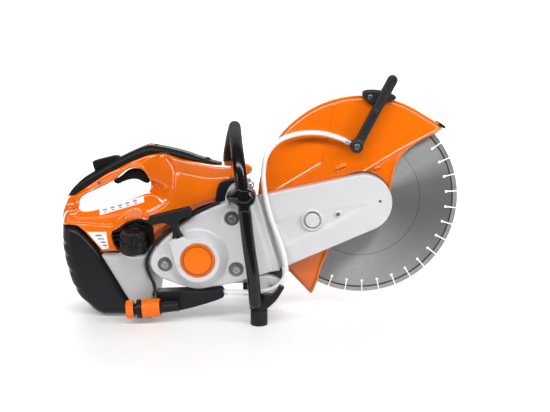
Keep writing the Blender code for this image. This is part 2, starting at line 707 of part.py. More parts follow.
def cap_axis():
    return Vector((0, -math.sin(CAP_TILT), math.cos(CAP_TILT)))


def build_surround():
    """The black insert that lines the pocket behind the filler cap."""
    surround = slab("filler_surround", [surround_outline()], (-60, -36), BLACK)
    cut(surround, rod("cap_room", 24, CAP_BASE - cap_axis() * 20, CAP_BASE + cap_axis() * 110))
    for index in range(3):
        z = 134 + index * 9
        cut(surround, block(f"louvre_{index}", (-270, -252), (-70, -50), (z, z + 4)))


def build_moulding():
    under = [(-346, 213.6, 0), *[(x, z + 0.6) for x, z in SPINE], (-172, 292)]
    under += [(x, z + 0.8) for x, z in SHROUD_TOP] + [(-66, 270.5, 0)]
    over = [
        (-85, 276), (-108, 284), (-131, 292), (-154, 298), (-184, 304), (-200, 305), (-229, 294), (-253, 282),
        (-298, 257), (-317, 246), (-330, 235), (-341, 223),
    ]
    moulding = slab("handle_moulding", [trace(under + over, 2)], (-13, 29), BLACK)
    lock_slot = [Vector(p) for p in ((-307, 247), (-307, 300), (-249, 310), (-249, 270), (-275, 258))]
    cut(moulding, slab("lock_slot", [lock_slot], (0, 16), None))
    cut(moulding, block("switch_slot", (-204, -186), (2, 14), (298, 320)))


def build_shroud():
    top = [(-172, 291, 0), *SHROUD_TOP, (-60, 270), (-44, 271), (-24, 272), (-13, 265), (-15, 256), (-24, 250, 0)]
    front = [(-49, 250), (-60, 247), (-68, 241), (-72, 229), (-75, 209, 0)]
    lower = [(-92, 204), (-108, 198), (-130, 184), (-152, 168), (-172, 146), (-188, 129, 0), (-194, 128, 0), (-196, 133, 0)]
    whole = trace([*top, *front, *lower, (-196, 187, 0), (-171, 201), *PARTING], 2)
    outline = inset(whole, 0.8)
    shroud = slab("engine_shroud", [outline], (BODY_Y[0], BODY_Y[1] + 3), ORANGE, bevel=6)
    room = trace(
        [
            (-168, 280), (-138, 272), (-106, 266), (-83, 262), (-60, 260, 0), (-76, 240), (-80, 200, 0), (-80, 150, 0),
            (-150, 100, 0), (-191, 100, 0), (-191, 184, 0), (-166, 199), (-151, 217), (-145, 236), (-144, 262),
        ],
        2,
    )
    cut(shroud, slab("shroud_room", [room], (BODY_Y[0] + WALL, BODY_Y[1]), None))
    cut(shroud, slab("fan_way", [inset(fan_shape(), -0.6)], (50.4, 80), None))
    cut(shroud, block("exhaust_way", (-90, -30), (-30, 58), (120, 249)))
    cut(shroud, slab("shroud_surround_way", [inset(surround_outline(), -0.5)], (-70, -35), None))


def build_controls():
    trigger = trace(
        [
            (-265, 240), (-263, 235), (-257, 233), (-248, 237), (-236, 241), (-226, 242), (-218, 240), (-208, 235),
            (-201, 235), (-200, 245), (-206, 255), (-219, 261), (-232, 261), (-242, 256), (-254, 246),
        ],
        1,
    )
    slab("throttle_trigger", [trigger], (1, 15), BLACK, bevel=1, origin=(-207, 8, 248))
    lock = [Vector(p) for p in (
        (-303, 273), (-290, 279), (-262, 286), (-252, 283), (-256, 276), (-280, 266), (-299, 257))]
    slab("trigger_lock", [lock], (1, 15), BLACK, bevel=1, origin=(-256, 8, 280))
    switch = [Vector(p) for p in ((-201, 303), (-199, 308), (-193, 308), (-190, 303), (-192, 300), (-199, 300))]
    slab("stop_switch", [switch], (3, 13), SWITCH, origin=(-195.5, 8, 302))


def build_filter_cover():
    rear = [(-359, 138), (-356, 112), (-350, 86), (-343, 62), (-333, 40), (-318, 20), (-300, 6), (-284, 0, 0)]
    outline = trace(
        [(-356.5, 166.6, 0), *rear, (-228, 0, 0), (-228, 14), *TANK_EDGE[::-1], *REAR_EDGE[::-1]],
        2,
    )
    cover = slab("filter_cover", [outline], (BODY_Y[0] - 8, BODY_Y[1] + 8), BLACK, bevel=12, bevel_steps=2)
    room = [Vector(p) for p in (
        (-353, 185), (-353, 134), (-350, 110), (-344, 86), (-337, 63), (-327, 42), (-313, 23), (-296, 10),
        (-282, 5), (-220, 5), (-215, 60), (-270, 130), (-300, 185))]
    cut(cover, slab("filter_room", [room], (BODY_Y[0] - 1, BODY_Y[1] + 1), None))
    block_outline = [Vector(p) for p in ((-344, 130), (-334, 66), (-312, 34), (-270, 28), (-300, 96), (-325, 134))]
    slab("air_filter", [block_outline], (-46, 62), FILTER)


def build_tank():
    edge = [(x + 1.2, z) for x, z in TANK_EDGE]
    outline = trace(
        [
            (-279, 117, 0), *edge, (-227, 12), (-225, 2, 0), (-192, 2, 0), (-187, 30), (-186, 50), (-190, 72),
            (-199, 95), (-199, 117, 0),
        ],
        2,
    )
    tank = slab("fuel_tank", [outline], TANK_Y, WHITE, bevel=8, bevel_steps=2)
    axis = cap_axis()
    join(tank, rod("neck_bulge", 19.5, CAP_BASE - axis * 34, CAP_BASE - axis * 1, sides=20))
    cut(tank, slab("tank_inside", [inset(outline, 5)], (TANK_Y[0] + 5, TANK_Y[1] - 5), None))
    join(tank, rod("neck", 19, CAP_BASE - axis * 12, CAP_BASE + axis * 4.5, sides=20))
    cut(tank, rod("neck_bore", 14.5, CAP_BASE - axis * 40, CAP_BASE + axis * 8, sides=20))
    shell = [
        (14.4 + GAP, 38), (20, 38), (22, 36), (22, 1), (19.6, 1), (19.6, 8), (14.4 + GAP, 8),
    ]
    turned("fuel_cap", shell, CAP_BASE, axis, BLACK, 20, hollow=True)
    plug = [(0, 38), (14.4, 38), (14.4, 5), (13.8, 4), (13.8, -8), (0, -8)]
    turned("cap_plug", plug, CAP_BASE, axis, BLACK, 20)


# ---------------------------------------------------------------- handlebar, feet and skid


def bar_route():
    return [
        (-6, -122, 44), (-10, -122, 92), (-17, -122, 143), (-24, -122, 205), (-29, -122, 250), (-33, -116, 283),
        (-37, -96, 306), (-40, -62, 318), (-44, 10, 327), (-47, 66, 331), (-50, 98, 322), (-56, 118, 298),
        (-61, 124.5, 262), (-56, 124.5, 205), (-44, 124.5, 143), (-32, 124.5, 92), (-24, 124.5, 44),
    ]


def build_handlebar():
    tube("handlebar", smooth_path(bar_route(), 22), BAR_R, GLOSS_BLACK, 2)
    star = trace(
        [
            (-54, 234, 0), (-45, 244, 0), (-35, 240), (-14, 240, 0), (-3, 232, 0), (-2, 216, 0), (-12, 206),
            (-34, 206), (-44, 214, 0), (-54, 222, 0),
        ],
        1,
    )
    clamp = slab("handlebar_clamp", [star], (-136, -90), BLACK, bevel=2)
    way = tube("bar_way", smooth_path(bar_route()[2:6], 22), BAR_R + GAP, None, 2)
    cut(clamp, way)
    turns, steps = 4, 8
    coil = []
    for i in range(turns * steps + 1):
        angle = 2 * math.pi * i / steps
        coil.append(Vector((-14 + 5 * math.cos(angle), -60 - 26 * i / (turns * steps), 243 + 5 * math.sin(angle))))
    tube("av_spring", coil, 1.3, STEEL, 1)


def build_support():
    """The bracket under the crankcase, with a rubber foot at each end."""
    plate = trace(
        [
            (-14, 31.5, 0), (15, 31.5, 0), (30, 46), (44, 68, 0), (36, 72, 0), (24, 57), (8, 56, 0), (8, 43, 0),
            (-14, 43, 0),
        ],
        1,
    )
    bracket = slab("support_bracket", [plate], (-116, -98), BLACK)
    join(bracket, slab("far_plate", [plate], (98, 116), None))
    join(bracket, block("cross_beam", (-16, 14), (-117, 117), (31.5, 42)))
    join(bracket, block("saddle", (-30, 14), (-40, 45), (36, 55.5)))
    for side, name in ((-1, "front_foot_near"), (1, "front_foot_far")):
        rubber = [(0, 31.2), (FOOT_R - 2, 31.2), (FOOT_R - 2, FOOT_H), (FOOT_R, FOOT_H - 1), (FOOT_R, 1.5), (FOOT_R - 1.5, 0), (0, 0)]
        turned(name, rubber, (0, side * FOOT_Y, 0), (0, 0, 1), RUBBER, 20)


def build_skid():
    outline = trace(
        [
            (-182, 54, 0), (-124, 56), (-66, 58, 0), (-62, 51), (-64, 44), (-104, 30), (-135, 22), (-171, 16),
            (-182, 16, 0),
        ],
        2,
    )
    skid = slab("skid_plate", [outline], (-88.5, -52), BLACK, bevel=2)
    cut(skid, slab("skid_inside", [inset(outline, WALL)], (-85.5, -45), None))
    cut(skid, rod("hose_gate", HOSE_R + 1, (-90, -76, 50.5), (-50, -76, 50.5), sides=12))


# ---------------------------------------------------------------- water line


def coupling_axis():
    start, end = Vector((-232, -106, 27)), Vector((-140, -106, 34))
    return start, (end - start).normalized()


def build_coupling():
    start, axis = coupling_axis()
    core = [
        (6, 92), (9.5, 92), (9.5, 62), (12, 60), (12, 27), (16.8, 26), (16.8, 18), (11, 17.5), (11, 2), (6, 2),
    ]
    turned("coupling_body", core, start, axis, BLACK, 24, hollow=True)
    nut = [(12 + GAP, 59), (15.5, 59), (16.5, 57), (16.5, 29), (15.5, 27.5), (12 + GAP, 27.5)]
    turned("coupling_nut", nut, start, axis, ORANGE, 24, hollow=True)
    collar = [(11 + GAP, 13), (15.5, 13), (16.3, 11), (16.3, 2), (15, 0), (11 + GAP, 0)]
    turned("coupling_collar", collar, start, axis, ORANGE, 24, hollow=True)


def hose_route():
    return [
        (-66, -76, 50.5), (-48, -78, 51.5), (-23, -88, 54), (0, -92, 56), (22, -92, 60), (38, -90, 70), (47, -87, 88),
        (46, -84, 106), (41, -81, 130), (31, -79, 158), (19, -77, 191), (12, -73, 219), (8, -67, 245),
        (8, -61, 270), (12, -57, 290), (22, -54, 307), (38, -52, 320), (62, -50, 329), (90, -48, 332),
        (116, -47, 330), (140, -46, 323), (152, -46, 318),
    ]


def build_hose():
    tube("water_hose", smooth_path(hose_route(), 16), HOSE_R, HOSE_WHITE, 1)
    seal = [
        (-76, -84, 212), (-96, -84, 202.5), (-125, -84, 187), (-158, -84, 163), (-177, -84, 145), (-190, -84, 128),
        (-197, -83, 110), (-197, -83, 96), (-192, -84, 82), (-186, -86, 70), (-184, -87, 60), (-185, -93, 51),
    ]
    tube("edge_seal", smooth_path(seal, 18), 2.7, RUBBER, 1)


# ---------------------------------------------------------------- wheel guard


def build_wheel_guard():
    free_edge = [
        (105, 60), (112, 86), (124, 116), (137, 158), (150, 172), (168, 163), (192, 160), (218, 173), (234, 203),
        (236, 238), (244, 272), (260, 296), (287, 317), (314, 329),
    ]
    rim = guard_rim(0)
    side = rim + [Vector(p) for p in free_edge]
    half = GUARD_HALF_WIDTH
    guard = slab("wheel_guard", [side, ring(SPINDLE, 25, 28)], (-half, half), ORANGE, origin=(SPINDLE[0], 0, SPINDLE[1]))
    beyond = [Vector(p) for p in ((108, 0), (300, -20), (420, 120), (390, 330))]
    inside = guard_rim(GUARD_WALL) + beyond
    cut(guard, slab("guard_inside", [inside], (-half + GUARD_WALL, half - GUARD_WALL), None))
    cut(guard, along_y("wheel_way", 118, SPINDLE, (half - 5, half + 5), sides=40))


def build_guard_fittings():
    foot, top = Vector(LEVER_FOOT), Vector(LEVER_TOP)
    angle = math.degrees(math.atan2(top.y - foot.y, top.x - foot.x))
    lever = arc(foot, 11, angle + 130, angle + 230, 8) + arc(top, 8.5, angle - 90, angle + 90, 8)
    handle = slab("guard_handle", [lever], (-54, -40), BLACK, bevel=2.5, bevel_steps=2)
    join(handle, along_y("lever_standoff", 9, LEVER_FOOT, (-42, -GUARD_HALF_WIDTH - GAP), sides=16))
    saddle = trace(
        [(182, 400), (188, 406), (212, 406), (238, 397), (240, 391), (224, 383), (200, 380), (187, 388)],
        2,
    )
    slab("guard_saddle", [saddle], (-39.7, -GUARD_HALF_WIDTH - GAP), BLACK, bevel=2)
    lip = [Vector(p) for p in ((311, 352.6), (331, 341), (333, 344), (313, 356))]
    slab("guard_tip", [lip], (-GUARD_HALF_WIDTH, GUARD_HALF_WIDTH), RUBBER)
    start = Vector(hose_route()[-1])
    end = Vector((LEVER_FOOT[0] - 10, -46, LEVER_FOOT[1] + 5))
    axis = (end - start).normalized()
    barb = [(0, 9.5), (5, 9.5), (5, 6), (6.2, 5), (6.2, GAP), (0, GAP)]
    turned("hose_fitting", barb, start, axis, DARK_METAL, 16)


def main():
    build_blade()
    build_spindle()
    build_clutch()
    build_arm()
    build_belt_guard()
    build_starter_cover()
    build_starter()
    build_crankcase()
    build_cylinder()
    build_crank()
    build_engine_extras()
    build_rear_handle()
    build_surround()
    build_moulding()
    build_shroud()
    build_controls()
    build_filter_cover()
    build_tank()
    build_handlebar()
    build_support()
    build_skid()
    build_coupling()
    build_hose()
    build_wheel_guard()
    build_guard_fittings()


main()
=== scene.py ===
"""The rescue saw's looks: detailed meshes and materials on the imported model's bodies.

Lists are in millimetres and meshes in metres. +X points forward to the blade, +Z is up and -Y is the side with
the recoil starter. Outlines are (x, z) points seen from that side, and a third value of 0 marks a sharp corner.
"""

import math

import bmesh
import bpy
import numpy as np
from mathutils import Matrix, Vector


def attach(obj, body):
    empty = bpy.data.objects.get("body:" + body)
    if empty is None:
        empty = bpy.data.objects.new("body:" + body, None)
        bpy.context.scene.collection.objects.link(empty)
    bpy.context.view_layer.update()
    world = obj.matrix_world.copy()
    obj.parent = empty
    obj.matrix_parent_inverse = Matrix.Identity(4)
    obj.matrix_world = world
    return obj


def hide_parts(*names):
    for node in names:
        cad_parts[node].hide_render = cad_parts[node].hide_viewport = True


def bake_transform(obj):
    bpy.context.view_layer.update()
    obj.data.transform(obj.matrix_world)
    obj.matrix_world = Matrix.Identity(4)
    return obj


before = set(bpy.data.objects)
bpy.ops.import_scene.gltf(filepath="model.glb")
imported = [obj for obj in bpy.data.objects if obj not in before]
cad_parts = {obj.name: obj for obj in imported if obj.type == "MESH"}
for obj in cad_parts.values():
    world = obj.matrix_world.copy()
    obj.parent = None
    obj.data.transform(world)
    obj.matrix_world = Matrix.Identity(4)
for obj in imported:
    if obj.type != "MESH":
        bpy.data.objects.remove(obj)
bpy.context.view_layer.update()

MM = 0.001
SPINDLE = (184.0, 209.0)
CRANK = (-107.0, 114.0)
BLADE_R = 175.0
SLOTS = 35
NODES = set(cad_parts)


# ---------------------------------------------------------------- outlines


def hermite(a, slope_a, b, slope_b, t):
    """A point on the cubic from a to b that leaves and arrives with the given slopes."""
    return (
        a * (2 * t**3 - 3 * t**2 + 1)
        + slope_a * (t**3 - 2 * t**2 + t)
        + b * (3 * t**2 - 2 * t**3)
        + slope_b * (t**3 - t**2)
    )


def loop(points, gap=3.0):
    """A closed smooth outline with a point about every gap."""
    count = len(points)
    made = []
    for i, point in enumerate(points):
        after = points[(i + 1) % count]
        a, b = np.array(point[:2], float), np.array(after[:2], float)
        chord = b - a
        length = math.hypot(*chord)
        made.append(a)
        if len(point) > 2 and len(after) > 2:
            continue
        before, later = np.array(points[i - 1][:2], float), np.array(points[(i + 2) % count][:2], float)
        slope_a = chord if len(point) > 2 else (b - before) / np.linalg.norm(b - before) * length
        slope_b = chord if len(after) > 2 else (later - a) / np.linalg.norm(later - a) * length
        steps = max(2, round(length / gap))
        made += [hermite(a, slope_a, b, slope_b, k / steps) for k in range(1, steps)]
    return np.array(made)


def arc(centre, radius, start, end, steps):
    angles = np.radians(np.linspace(start, end, steps + 1))
    return np.stack([centre[0] + radius * np.cos(angles), centre[1] + radius * np.sin(angles)], 1)


def ring(centre, radius, steps, start=0):
    """A circle or a regular polygon as an outline."""
    return arc(centre, radius, start, start + 360, steps)[:-1]


def path(points, gap):
    """Points about a gap apart on a smooth open curve through the given 3D points."""
    route = [np.array(p, float) for p in points]
    route = [route[0] * 2 - route[1]] + route + [route[-1] * 2 - route[-2]]
    made = []
    for before, a, b, later in zip(route, route[1:], route[2:], route[3:]):
        length = np.linalg.norm(b - a)
        slope_a = (b - before) / np.linalg.norm(b - before) * length
        slope_b = (later - a) / np.linalg.norm(later - a) * length
        pieces = max(1, round(length / gap))
        made += [hermite(a, slope_a, b, slope_b, k / pieces) for k in range(pieces)]
    made.append(route[-2])
    return np.array(made)


# ---------------------------------------------------------------- solids from distances


LAST_CELL = 1.001  # taken from a grid's size, it keeps a place inside the last cell
RELAX_ROUNDS = 2


class Space:
    """A box of points. Solids in it are arrays that are negative inside and hold a distance in millimetres."""

    def __init__(self, low, high, step):
        self.low = np.array(low, float)
        self.step = step
        axes = [np.arange(a, b + step, step, dtype=np.float32) for a, b in zip(low, high)]
        self.x = axes[0][:, None, None]
        self.y = axes[1][None, :, None]
        self.z = axes[2][None, None, :]

    def side(self, outline):
        """The distance to an outline seen from the side, the same at every y."""
        return distance_2d(outline, self.x, self.z)

    def between(self, low, high):
        return np.maximum(low - self.y, self.y - high)

    def rod(self, start, end, radius, end_radius=None, edge=0.0):
        """A round bar with flat ends and edges of the given radius, or a cone."""
        a, b = np.array(start, np.float32), np.array(end, np.float32)
        axis = (b - a) / np.linalg.norm(b - a)
        along = (self.x - a[0]) * axis[0] + (self.y - a[1]) * axis[1] + (self.z - a[2]) * axis[2]
        total = (self.x - a[0]) ** 2 + (self.y - a[1]) ** 2 + (self.z - a[2]) ** 2
        reach = np.linalg.norm(b - a)
        wide = radius
        if end_radius is not None:
            wide = radius + (end_radius - radius) * np.clip(along / reach, 0, 1)
        across = np.sqrt(np.maximum(total - along**2, 0)) - wide
        return both(across, np.maximum(-along, along - reach), edge)

    def disc(self, centre, radius):
        """The distance to a round bar parallel to Y."""
        return np.sqrt((self.x - centre[0]) ** 2 + (self.z - centre[1]) ** 2) - radius


def bent(space, outline, right=0.0, up=0.0):
    """The distance to an outline that shifts to the right and up by amounts that may change over the space."""
    flat = space.side(outline)[:, 0, :]
    spots = []
    for at, low, count in zip((space.x - right, space.z - up), space.low[[0, 2]], flat.shape):
        at = np.clip((at - low) / space.step, 0, count - LAST_CELL)
        whole = at.astype(int)
        spots.append((whole, (at - whole).astype(np.float32)))
    (i, s), (k, t) = spots
    here = flat[i, k] * (1 - s) + flat[i + 1, k] * s
    above = flat[i, k + 1] * (1 - s) + flat[i + 1, k + 1] * s
    return here * (1 - t) + above * t


def rear_round(space):
    """How far the saw's rear end is drawn in to the right and up, away from its middle plane."""
    away = (np.abs(space.y - 8) / 70) ** 2.2
    return 12 * away * ease((-250 - space.x) / 70), 7 * away * ease((55 - space.z) / 45)


def distance_2d(outline, u, v):
    best = np.full(np.broadcast_shapes(u.shape, v.shape), 1e12, np.float32)
    inside = np.zeros(best.shape, bool)
    points = np.asarray(outline, np.float32)
    for (ax, ay), (bx, by) in zip(points, np.roll(points, -1, axis=0)):
        ex, ey = bx - ax, by - ay
        t = np.clip(((u - ax) * ex + (v - ay) * ey) / (ex * ex + ey * ey + 1e-9), 0, 1)
        best = np.minimum(best, (u - ax - ex * t) ** 2 + (v - ay - ey * t) ** 2)
        if ay != by:
            inside ^= ((ay > v) != (by > v)) & (u < ex * (v - ay) / ey + ax)
    return np.where(inside, -1, 1) * np.sqrt(best)


def both(a, b, r=0.0):
    """What is inside both solids, with an outer edge of radius r where they meet."""
    if r == 0:
        return np.maximum(a, b)
    u, v = np.maximum(a + r, 0), np.maximum(b + r, 0)
    return np.minimum(np.maximum(a, b), -r) + np.sqrt(u * u + v * v)


def either(a, b, r=0.0):
    return -both(-a, -b, r)


def less(a, b, r=0.0):
    return both(a, -b, r)


def ease(t):
    t = np.clip(t, 0, 1)
    return t * t * (3 - 2 * t)


def slope_fix(height, step):
    """What turns a difference in y from a height map over x and z into about a distance."""
    dx, dz = np.gradient(height[:, 0, :], step)
    return (1 / np.sqrt(1 + dx**2 + dz**2))[:, None, :]


def sample(field, at):
    """The field at fractional grid places, between its points."""
    top = np.array(field.shape) - LAST_CELL
    at = np.clip(at, 0, top)
    i = at.astype(int)
    t = (at - i).astype(np.float32)
    total = 0
    for dx in (0, 1):
        for dy in (0, 1):
            for dz in (0, 1):
                weight = (
                    (t[:, 0] if dx else 1 - t[:, 0])
                    * (t[:, 1] if dy else 1 - t[:, 1])
                    * (t[:, 2] if dz else 1 - t[:, 2])
                )
                total = total + weight * field[i[:, 0] + dx, i[:, 1] + dy, i[:, 2] + dz]
    return total


def surface(space, field):
    """The mesh where the field is zero: one point in each cell that it crosses, moved onto the surface."""
    field = np.broadcast_to(field, (space.x.size, space.y.size, space.z.size)).astype(np.float32)
    shape = np.array(field.shape) - 1
    cells, spots, quads = [], [], []
    for axis in range(3):
        near = np.moveaxis(field, axis, 0)[:-1]
        far = np.moveaxis(field, axis, 0)[1:]
        found = np.argwhere((near < 0) != (far < 0))
        a, b = near[tuple(found.T)], far[tuple(found.T)]
        spot = found.astype(float)
        spot[:, 0] += a / (a - b)
        others = [i for i in range(3) if i != axis]
        order = np.argsort([axis, *others])
        spot, base = spot[:, order], found[:, order]
        around = []
        for shift in ((0, 0), (-1, 0), (-1, -1), (0, -1)):
            cell = base.copy()
            cell[:, others] += shift
            around.append(cell)
        valid = np.all([((c >= 0) & (c < shape)).all(1) for c in around], axis=0)
        numbers = np.stack([np.ravel_multi_index(c[valid].T, shape) for c in around], 1)
        turned = (a < 0)[valid] ^ (axis == 1)
        numbers[~turned] = numbers[~turned, ::-1]
        quads.append(numbers)
        cells.append(numbers.reshape(-1))
        spots.append(np.repeat(spot[valid], 4, axis=0))
    cells, spots, quads = np.concatenate(cells), np.concatenate(spots), np.concatenate(quads)
    known, index = np.unique(cells, return_inverse=True)
    index = index.reshape(-1)
    count = np.bincount(index)
    points = np.stack([np.bincount(index, spots[:, k]) / count for k in range(3)], 1)
    faces = np.searchsorted(known, quads)
    for _ in range(RELAX_ROUNDS):
        total = np.zeros_like(points)
        linked = np.zeros(len(points))
        for k in range(4):
            for other in (faces[:, (k + 1) % 4], faces[:, k - 1]):
                for c in range(3):
                    total[:, c] += np.bincount(faces[:, k], points[other, c], len(points))
                linked += np.bincount(faces[:, k], minlength=len(points))
        points = points * 0.5 + total / linked[:, None] * 0.5
        for _ in range(2):
            value = sample(field, points)
            slope = np.stack([sample(field, points + h) - sample(field, points - h) for h in 0.5 * np.eye(3)], 1)
            size = np.maximum((slope**2).sum(1), 0.05)
            points = points - np.clip(value / size, -1, 1)[:, None] * slope
    return points * space.step + space.low, faces


# ---------------------------------------------------------------- meshes and pieces


def mesh_of(points, faces):
    """A mesh in metres from points in millimetres and faces that all have the same number of corners."""
    mesh = bpy.data.meshes.new("mesh")
    mesh.vertices.add(len(points))
    mesh.vertices.foreach_set("co", (np.asarray(points, np.float32) * MM).reshape(-1))
    mesh.loops.add(faces.size)
    mesh.loops.foreach_set("vertex_index", faces.reshape(-1).astype(np.int32))
    mesh.polygons.add(len(faces))
    mesh.polygons.foreach_set("loop_start", np.arange(0, faces.size, faces.shape[1], dtype=np.int32))
    mesh.update(calc_edges=True)
    return mesh


def piece(name, mesh, material, body="machine", replaces=(), smooth=35):
    """One visible object. smooth is the angle in degrees below which an edge is shaded smooth."""
    mesh.name = name
    obj = bpy.data.objects.new(name, mesh)
    bpy.context.scene.collection.objects.link(obj)
    mesh.materials.clear()
    mesh.materials.append(material)
    mesh.polygons.foreach_set("use_smooth", np.ones(len(mesh.polygons), bool))
    if smooth < 180:
        mesh.set_sharp_from_angle(angle=math.radians(smooth))
    if body:
        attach(obj, body)
    nodes = [node for node in replaces if node in NODES]
    if nodes:
        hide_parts(*nodes)
    return obj


def moulded(name, space, field, material, body="machine", replaces=()):
    piece(name, mesh_of(*surface(space, field)), material, body, replaces, smooth=180)


def held(mesh):
    obj = bpy.data.objects.new("tool", mesh)
    bpy.context.scene.collection.objects.link(obj)
    return obj


def evaluated(obj):
    bpy.context.view_layer.update()
    graph = bpy.context.evaluated_depsgraph_get()
    mesh = bpy.data.meshes.new_from_object(obj.evaluated_get(graph), depsgraph=graph)
    mesh.transform(obj.matrix_world)
    return mesh


def written(edit, mesh=None):
    mesh = mesh or bpy.data.meshes.new("mesh")
    edit.to_mesh(mesh)
    edit.free()
    return mesh


def closed_up(edit, weld):
    """Welds points that are nearer than weld and turns the faces of the closed mesh to the outside."""
    bmesh.ops.remove_doubles(edit, verts=edit.verts, dist=weld)
    bmesh.ops.recalc_face_normals(edit, faces=edit.faces)
    if edit.calc_volume(signed=True) < 0:
        bmesh.ops.reverse_faces(edit, faces=edit.faces)


def tidy(mesh):
    edit = bmesh.new()
    edit.from_mesh(mesh)
    closed_up(edit, 0.002 * MM)
    return written(edit, mesh)


def built(points, faces):
    """A closed mesh in metres from points in millimetres and faces with any number of corners."""
    mesh = bpy.data.meshes.new("mesh")
    mesh.from_pydata((np.asarray(points) * MM).tolist(), [], faces)
    return tidy(mesh)


def combined(base, cuts=(), joins=(), bevel=0.0):
    """The base mesh with others joined to it and cut from it, and its sharp edges broken by a small bevel."""
    obj = held(base)
    tools = []
    for operation, meshes in (("UNION", joins), ("DIFFERENCE", cuts)):
        for mesh in meshes:
            tools.append(held(mesh))
            change = obj.modifiers.new(operation, "BOOLEAN")
            change.operation = operation
            change.object = tools[-1]
            change.solver = "EXACT"
    if bevel:
        edge = obj.modifiers.new("edge", "BEVEL")
        edge.width = bevel * MM
        edge.segments = 2
        edge.limit_method = "ANGLE"
        edge.angle_limit = math.radians(40)
        edge.use_clamp_overlap = True
        edge.miter_outer = "MITER_ARC"
    made = evaluated(obj)
    for tool in tools + [obj]:
        bpy.data.objects.remove(tool)
    return made


def weighted(obj):
    """Keeps flat faces flat in the shading where they meet rounded edges."""
    change = obj.modifiers.new("flat", "WEIGHTED_NORMAL")
    change.keep_sharp = True
    change.weight = 100
    return obj


def plate(outlines, y, bevel=0.0, steps=3):
    """The solid between two y planes inside the first outline and outside the others."""
    curve = bpy.data.curves.new("outline", "CURVE")
    curve.dimensions = "2D"
    curve.fill_mode = "BOTH"
    curve.extrude = ((y[1] - y[0]) / 2 - bevel) * MM
    curve.bevel_depth = bevel * MM
    curve.bevel_resolution = steps - 1
    curve.offset = -bevel * MM
    for outline in outlines:
        spline = curve.splines.new("POLY")
        spline.points.add(len(outline) - 1)
        for target, point in zip(spline.points, outline):
            target.co = (point[0] * MM, point[1] * MM, 0, 1)
        spline.use_cyclic_u = True
    obj = bpy.data.objects.new("outline", curve)
    obj.matrix_world = Matrix.Translation((0, (y[0] + y[1]) / 2 * MM, 0)) @ Matrix.Rotation(math.pi / 2, 4, "X")
    bpy.context.scene.collection.objects.link(obj)
    mesh = tidy(evaluated(obj))
    bpy.data.objects.remove(obj)
    return mesh


def lathe(profile, base, direction, steps=64, hollow=False):
    """A profile of (radius, distance) points turned about an axis through the base."""
    edit = bmesh.new()
    line = [edit.verts.new((r, 0, t)) for r, t in profile]
    pairs = list(zip(line, line[1:]))
    if hollow:
        pairs.append((line[-1], line[0]))
    edges = [edit.edges.new(pair) for pair in pairs]
    bmesh.ops.spin(
        edit, geom=line + edges, cent=(0, 0, 0), axis=(0, 0, 1), angle=2 * math.pi, steps=steps, use_merge=True
    )
    closed_up(edit, 0.001)
    turn = Vector(direction).to_track_quat("Z", "Y").to_matrix().to_4x4()
    place = Matrix.Scale(MM, 4) @ Matrix.Translation(Vector(base)) @ turn
    bmesh.ops.transform(edit, matrix=place, verts=edit.verts)
    return written(edit)


def lathe_y(profile, centre, steps=64, hollow=False):
    return lathe(profile, (centre[0], 0, centre[1]), (0, 1, 0), steps, hollow)


def softened(profile, r=0.5, closed=False):
    """The profile with each corner cut to a small arc of about radius r."""
    made = []
    count = len(profile)
    for i, point in enumerate(profile):
        if not closed and i in (0, count - 1) or point[0] == 0:
            made.append(point)
            continue
        p = np.array(point, float)
        a, b = np.array(profile[i - 1], float), np.array(profile[(i + 1) % count], float)
        da, db = a - p, b - p
        la, lb = np.linalg.norm(da), np.linalg.norm(db)
        reach = min(r, 0.4 * la, 0.4 * lb)
        start, end = p + da / la * reach, p + db / lb * reach
        for t in (0, 0.33, 0.67, 1):
            made.append(tuple(start * (1 - t) ** 2 + p * 2 * t * (1 - t) + end * t**2))
    return made


def directions(points):
    ahead = np.gradient(points, axis=0)
    return ahead / np.linalg.norm(ahead, axis=1)[:, None]


def between_rings(count, sides, closed=False):
    """The four-sided faces between each ring of points and the next one."""
    faces = []
    for i in range(count if closed else count - 1):
        this, after = i * sides, (i + 1) % count * sides
        for k in range(sides):
            n = (k + 1) % sides
            faces.append((this + k, this + n, after + n, after + k))
    return faces


def tube(points, radius, sides=24, rounded=True):
    """A round bar or hose along 3D points, with rounded or flat ends."""
    points = np.asarray(points, float)
    radii = np.full(len(points), radius, float)
    if rounded:
        angles = np.radians([80, 60, 40, 20])
        for end, sign in ((0, -1), (-1, 1)):
            ahead = directions(points)
            extra = [points[end] + sign * ahead[end] * radii[end] * math.sin(a) for a in angles]
            sizes = [radii[end] * math.cos(a) for a in angles]
            if end == 0:
                points, radii = np.concatenate([extra, points]), np.concatenate([sizes, radii])
            else:
                points, radii = np.concatenate([points, extra[::-1]]), np.concatenate([radii, sizes[::-1]])
    ahead = directions(points)
    side = np.cross(ahead[0], (0, 0, 1) if abs(ahead[0][2]) < 0.9 else (1, 0, 0))
    side /= np.linalg.norm(side)
    angles = np.linspace(0, 2 * math.pi, sides, endpoint=False)
    rings = []
    for point, direction, size in zip(points, ahead, radii):
        side = side - direction * side.dot(direction)
        side /= np.linalg.norm(side)
        up = np.cross(direction, side)
        rings.append(point + size * (np.cos(angles)[:, None] * side + np.sin(angles)[:, None] * up))
    last = (len(points) - 1) * sides
    ends = [tuple(range(sides))[::-1], tuple(range(last, last + sides))]
    return built(np.concatenate(rings), between_rings(len(points), sides) + ends)


def box(x, y, z):
    edit = bmesh.new()
    middle = Vector(((x[0] + x[1]) / 2, (y[0] + y[1]) / 2, (z[0] + z[1]) / 2)) * MM
    size = Matrix.Diagonal(((x[1] - x[0]) * MM, (y[1] - y[0]) * MM, (z[1] - z[0]) * MM, 1))
    bmesh.ops.create_cube(edit, size=1, matrix=Matrix.Translation(middle) @ size)
    return written(edit)


def slab(name, outline, y, bevel, material, body="machine", replaces=(), smooth=35, steps=3):
    """A flat piece between two y planes with rounded edges."""
    return weighted(piece(name, plate([outline], y, bevel, steps), material, body, replaces, smooth))


